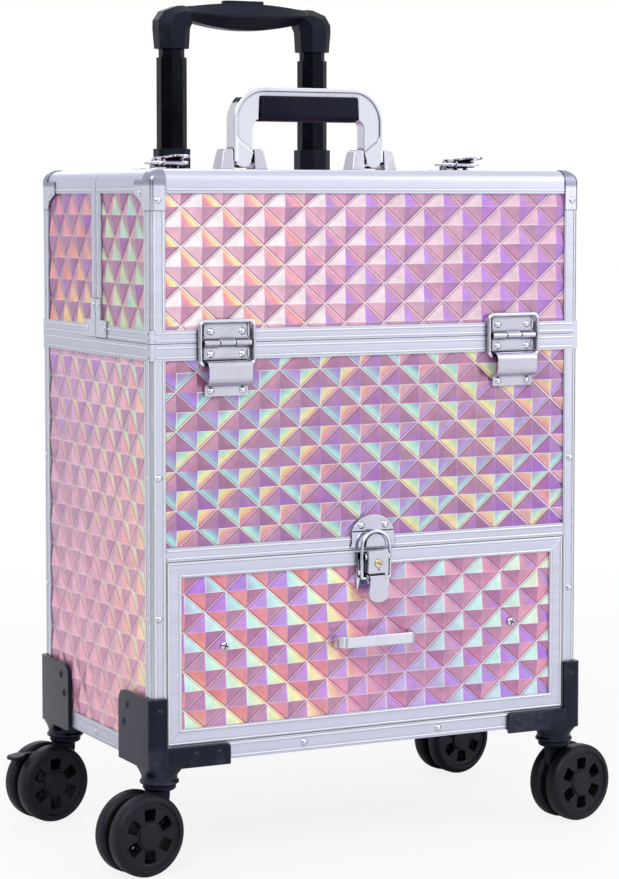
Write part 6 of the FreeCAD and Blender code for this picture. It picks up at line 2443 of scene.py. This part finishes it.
@dataclass(frozen=True)
class Studio:
    """Camera, surround, lamps, floor and the cards that polished metal reflects."""

    camera_place: Triple = (-853.9, -1701.1, 461.6)
    camera_yaw: float = 26.68
    camera_tilt: float = 3.757
    lens: float = 105.52
    sensor: float = 36.0
    shift_down: float = 0.08
    aim: Triple = (0.0, 0.0, 280.0)
    shading_light: float = 0.45
    floor_radius: float = 3200.0
    floor_steps: int = 64
    floor_tones: tuple[Colour, Colour] = ((0.90, 0.90, 0.91, 1.0), (0.94, 0.94, 0.95, 1.0))
    floor_roughness: float = 0.6
    floor_gloss: float = 0.2
    floor_glow: float = 0.85
    floor_fade: Pair = (0.5, 1.6)
    lamps: tuple[tuple[str, Triple, float, float], ...] = (
        ("key_softbox", (-1500.0, -1900.0, 2100.0), 1800.0, 44.0),
        ("fill_softbox", (1900.0, -1500.0, 1300.0), 1800.0, 14.0),
        ("rear_softbox", (300.0, 1800.0, 2000.0), 1600.0, 12.0),
    )
    cards: tuple[tuple[str, Triple, Pair, float], ...] = (
        ("dark_card_left", (-1700.0, -650.0, 600.0), (800.0, 1500.0), 0.02),
        ("dark_card_right", (1700.0, -350.0, 600.0), (600.0, 1500.0), 0.02),
        ("dark_card_far_right", (1600.0, 620.0, 600.0), (560.0, 1700.0), 0.02),
        ("dark_card_far_left", (-1300.0, 1130.0, 600.0), (200.0, 1700.0), 0.02),
        ("dark_card_camera", (-1010.0, -2010.0, 600.0), (1100.0, 1700.0), 0.02),
        ("grey_card_left", (-560.0, 1650.0, 600.0), (700.0, 1700.0), 0.94),
    )

    def build(self) -> None:
        """Set up the camera, the surround, the lamps, the floor and the cards."""
        bpy.context.scene.view_settings.view_transform = "Standard"
        self._camera()
        self._world()
        for lamp in self.lamps:
            self._lamp(*lamp)
        self._floor()
        for card in self.cards:
            self._card(*card)

    def _camera(self) -> None:
        """Stand the camera where the photograph was taken from."""
        data = bpy.data.cameras.new("photo_camera")
        data.lens = self.lens
        data.sensor_width = self.sensor
        data.shift_y = -self.shift_down
        camera = put_in_scene("photo_camera", data)
        camera.location = Vector(self.camera_place) * MM
        camera.rotation_euler = (math.radians(90.0 - self.camera_tilt), 0.0, -math.radians(self.camera_yaw))
        bpy.context.scene.camera = camera

    def _world(self) -> None:
        """A white surround for the camera and for polished metal, and a dimmer one for shading."""
        world = bpy.data.worlds.new("white_surround")
        world.use_nodes = True
        graph = Graph(world.node_tree)
        path = graph.node("ShaderNodeLightPath").outputs
        seen = graph.maths("MAXIMUM", path["Is Camera Ray"], path["Is Glossy Ray"])
        seen = graph.maths("MAXIMUM", seen, path["Is Transmission Ray"])
        backdrop = world.node_tree.nodes["Background"]
        strength = graph.total(self.shading_light, (seen, 1.0 - self.shading_light))
        graph.fit(backdrop, Color=(1.0, 1.0, 1.0, 1.0), Strength=strength)
        bpy.context.scene.world = world

    def _lamp(self, name: str, place: Triple, size: float, power: float) -> None:
        """Hang a soft lamp that looks at the middle of the case.

        Args:
            name: The lamp's name.
            place: Where it hangs.
            size: The side of its square face.
            power: Its power in watts.
        """
        data = bpy.data.lights.new(name, "AREA")
        data.size = size * MM
        data.energy = power
        lamp = put_in_scene(name, data)
        lamp.location = Vector(place) * MM
        aim = Vector(self.aim) * MM - lamp.location
        lamp.rotation_euler = aim.to_track_quat("-Z", "Y").to_euler()

    def _floor(self) -> None:
        """Lay a pale floor that fades into the surround."""
        mesh = bpy.data.meshes.new("studio_floor")
        rim = [polar(self.floor_radius * MM, 360.0 * step / self.floor_steps) for step in range(self.floor_steps)]
        mesh.from_pydata([(x, y, 0.0) for x, y in rim], [], [list(range(self.floor_steps))])
        made, graph, shader = new_material("studio_floor_white")
        place = graph.own_place()
        graph.fit(shader, Base_Color=graph.blend(graph.noise(place, 3.0, 3.0), *self.floor_tones),
                  Roughness=self.floor_roughness, Specular_IOR_Level=self.floor_gloss)
        glow = graph.node("ShaderNodeEmission")
        clear = graph.node("ShaderNodeBsdfTransparent")
        seen = graph.maths("MULTIPLY", graph.node("ShaderNodeLightPath").outputs["Is Camera Ray"], self.floor_glow)
        lift = graph.filled("ShaderNodeMixShader", seen, shader.outputs[0], glow.outputs[0])
        span = graph.filled("ShaderNodeVectorMath", place, operation="LENGTH")
        fade = graph.spread(span.outputs["Value"], *self.floor_fade, 0.0, 1.0)
        ends = graph.filled("ShaderNodeMixShader", fade, lift.outputs[0], clear.outputs[0])
        graph.fit(made.node_tree.nodes["Material Output"], Surface=ends.outputs[0])
        mesh.materials.append(made)
        put_in_scene("studio_floor", mesh)

    def _card(self, name: str, place: Triple, size: Pair, tone: float) -> None:
        """Stand a card that only polished metal sees.

        Args:
            name: The card's name.
            place: Its middle.
            size: Its width and height.
            tone: How much light it throws back.
        """
        mesh = bpy.data.meshes.new(name)
        wide, high = size[0] * MM / 2.0, size[1] * MM / 2.0
        mesh.from_pydata([(x, 0.0, z) for x, z in oblong((-wide, -high), (wide, high))], [], [[0, 1, 2, 3]])
        card = put_in_scene(name, mesh)
        card.location = Vector(place) * MM
        card.rotation_euler = (0.0, 0.0, math.atan2(place[1], place[0]) + math.pi / 2.0)
        made, graph, shader = new_material(name)
        cloth = graph.noise(graph.own_place(), 120.0, 3.0)
        paler_tone = (tone + 0.03, tone + 0.03, tone + 0.035, 1.0)
        graph.fit(shader, Base_Color=graph.blend(cloth, (tone, tone, tone, 1.0), paler_tone), Roughness=1.0)
        mesh.materials.append(made)
        card.visible_camera = False
        card.visible_diffuse = False
        card.visible_shadow = False


def main() -> None:
    """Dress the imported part, build the pieces and set up the studio."""
    logging.basicConfig(level=logging.INFO, format="%(message)s")
    dress_packed_pieces()
    FilmSet().build()
    EdgeBeads().build()
    StayHinges().build()
    DrawLatches().build()
    DrawerPull().build()
    PanelScrews().build()
    CarryHandle().build()
    TrolleyGrip().build()
    Casters().build()
    Studio().build()


if __name__ == "__main__":
    main()
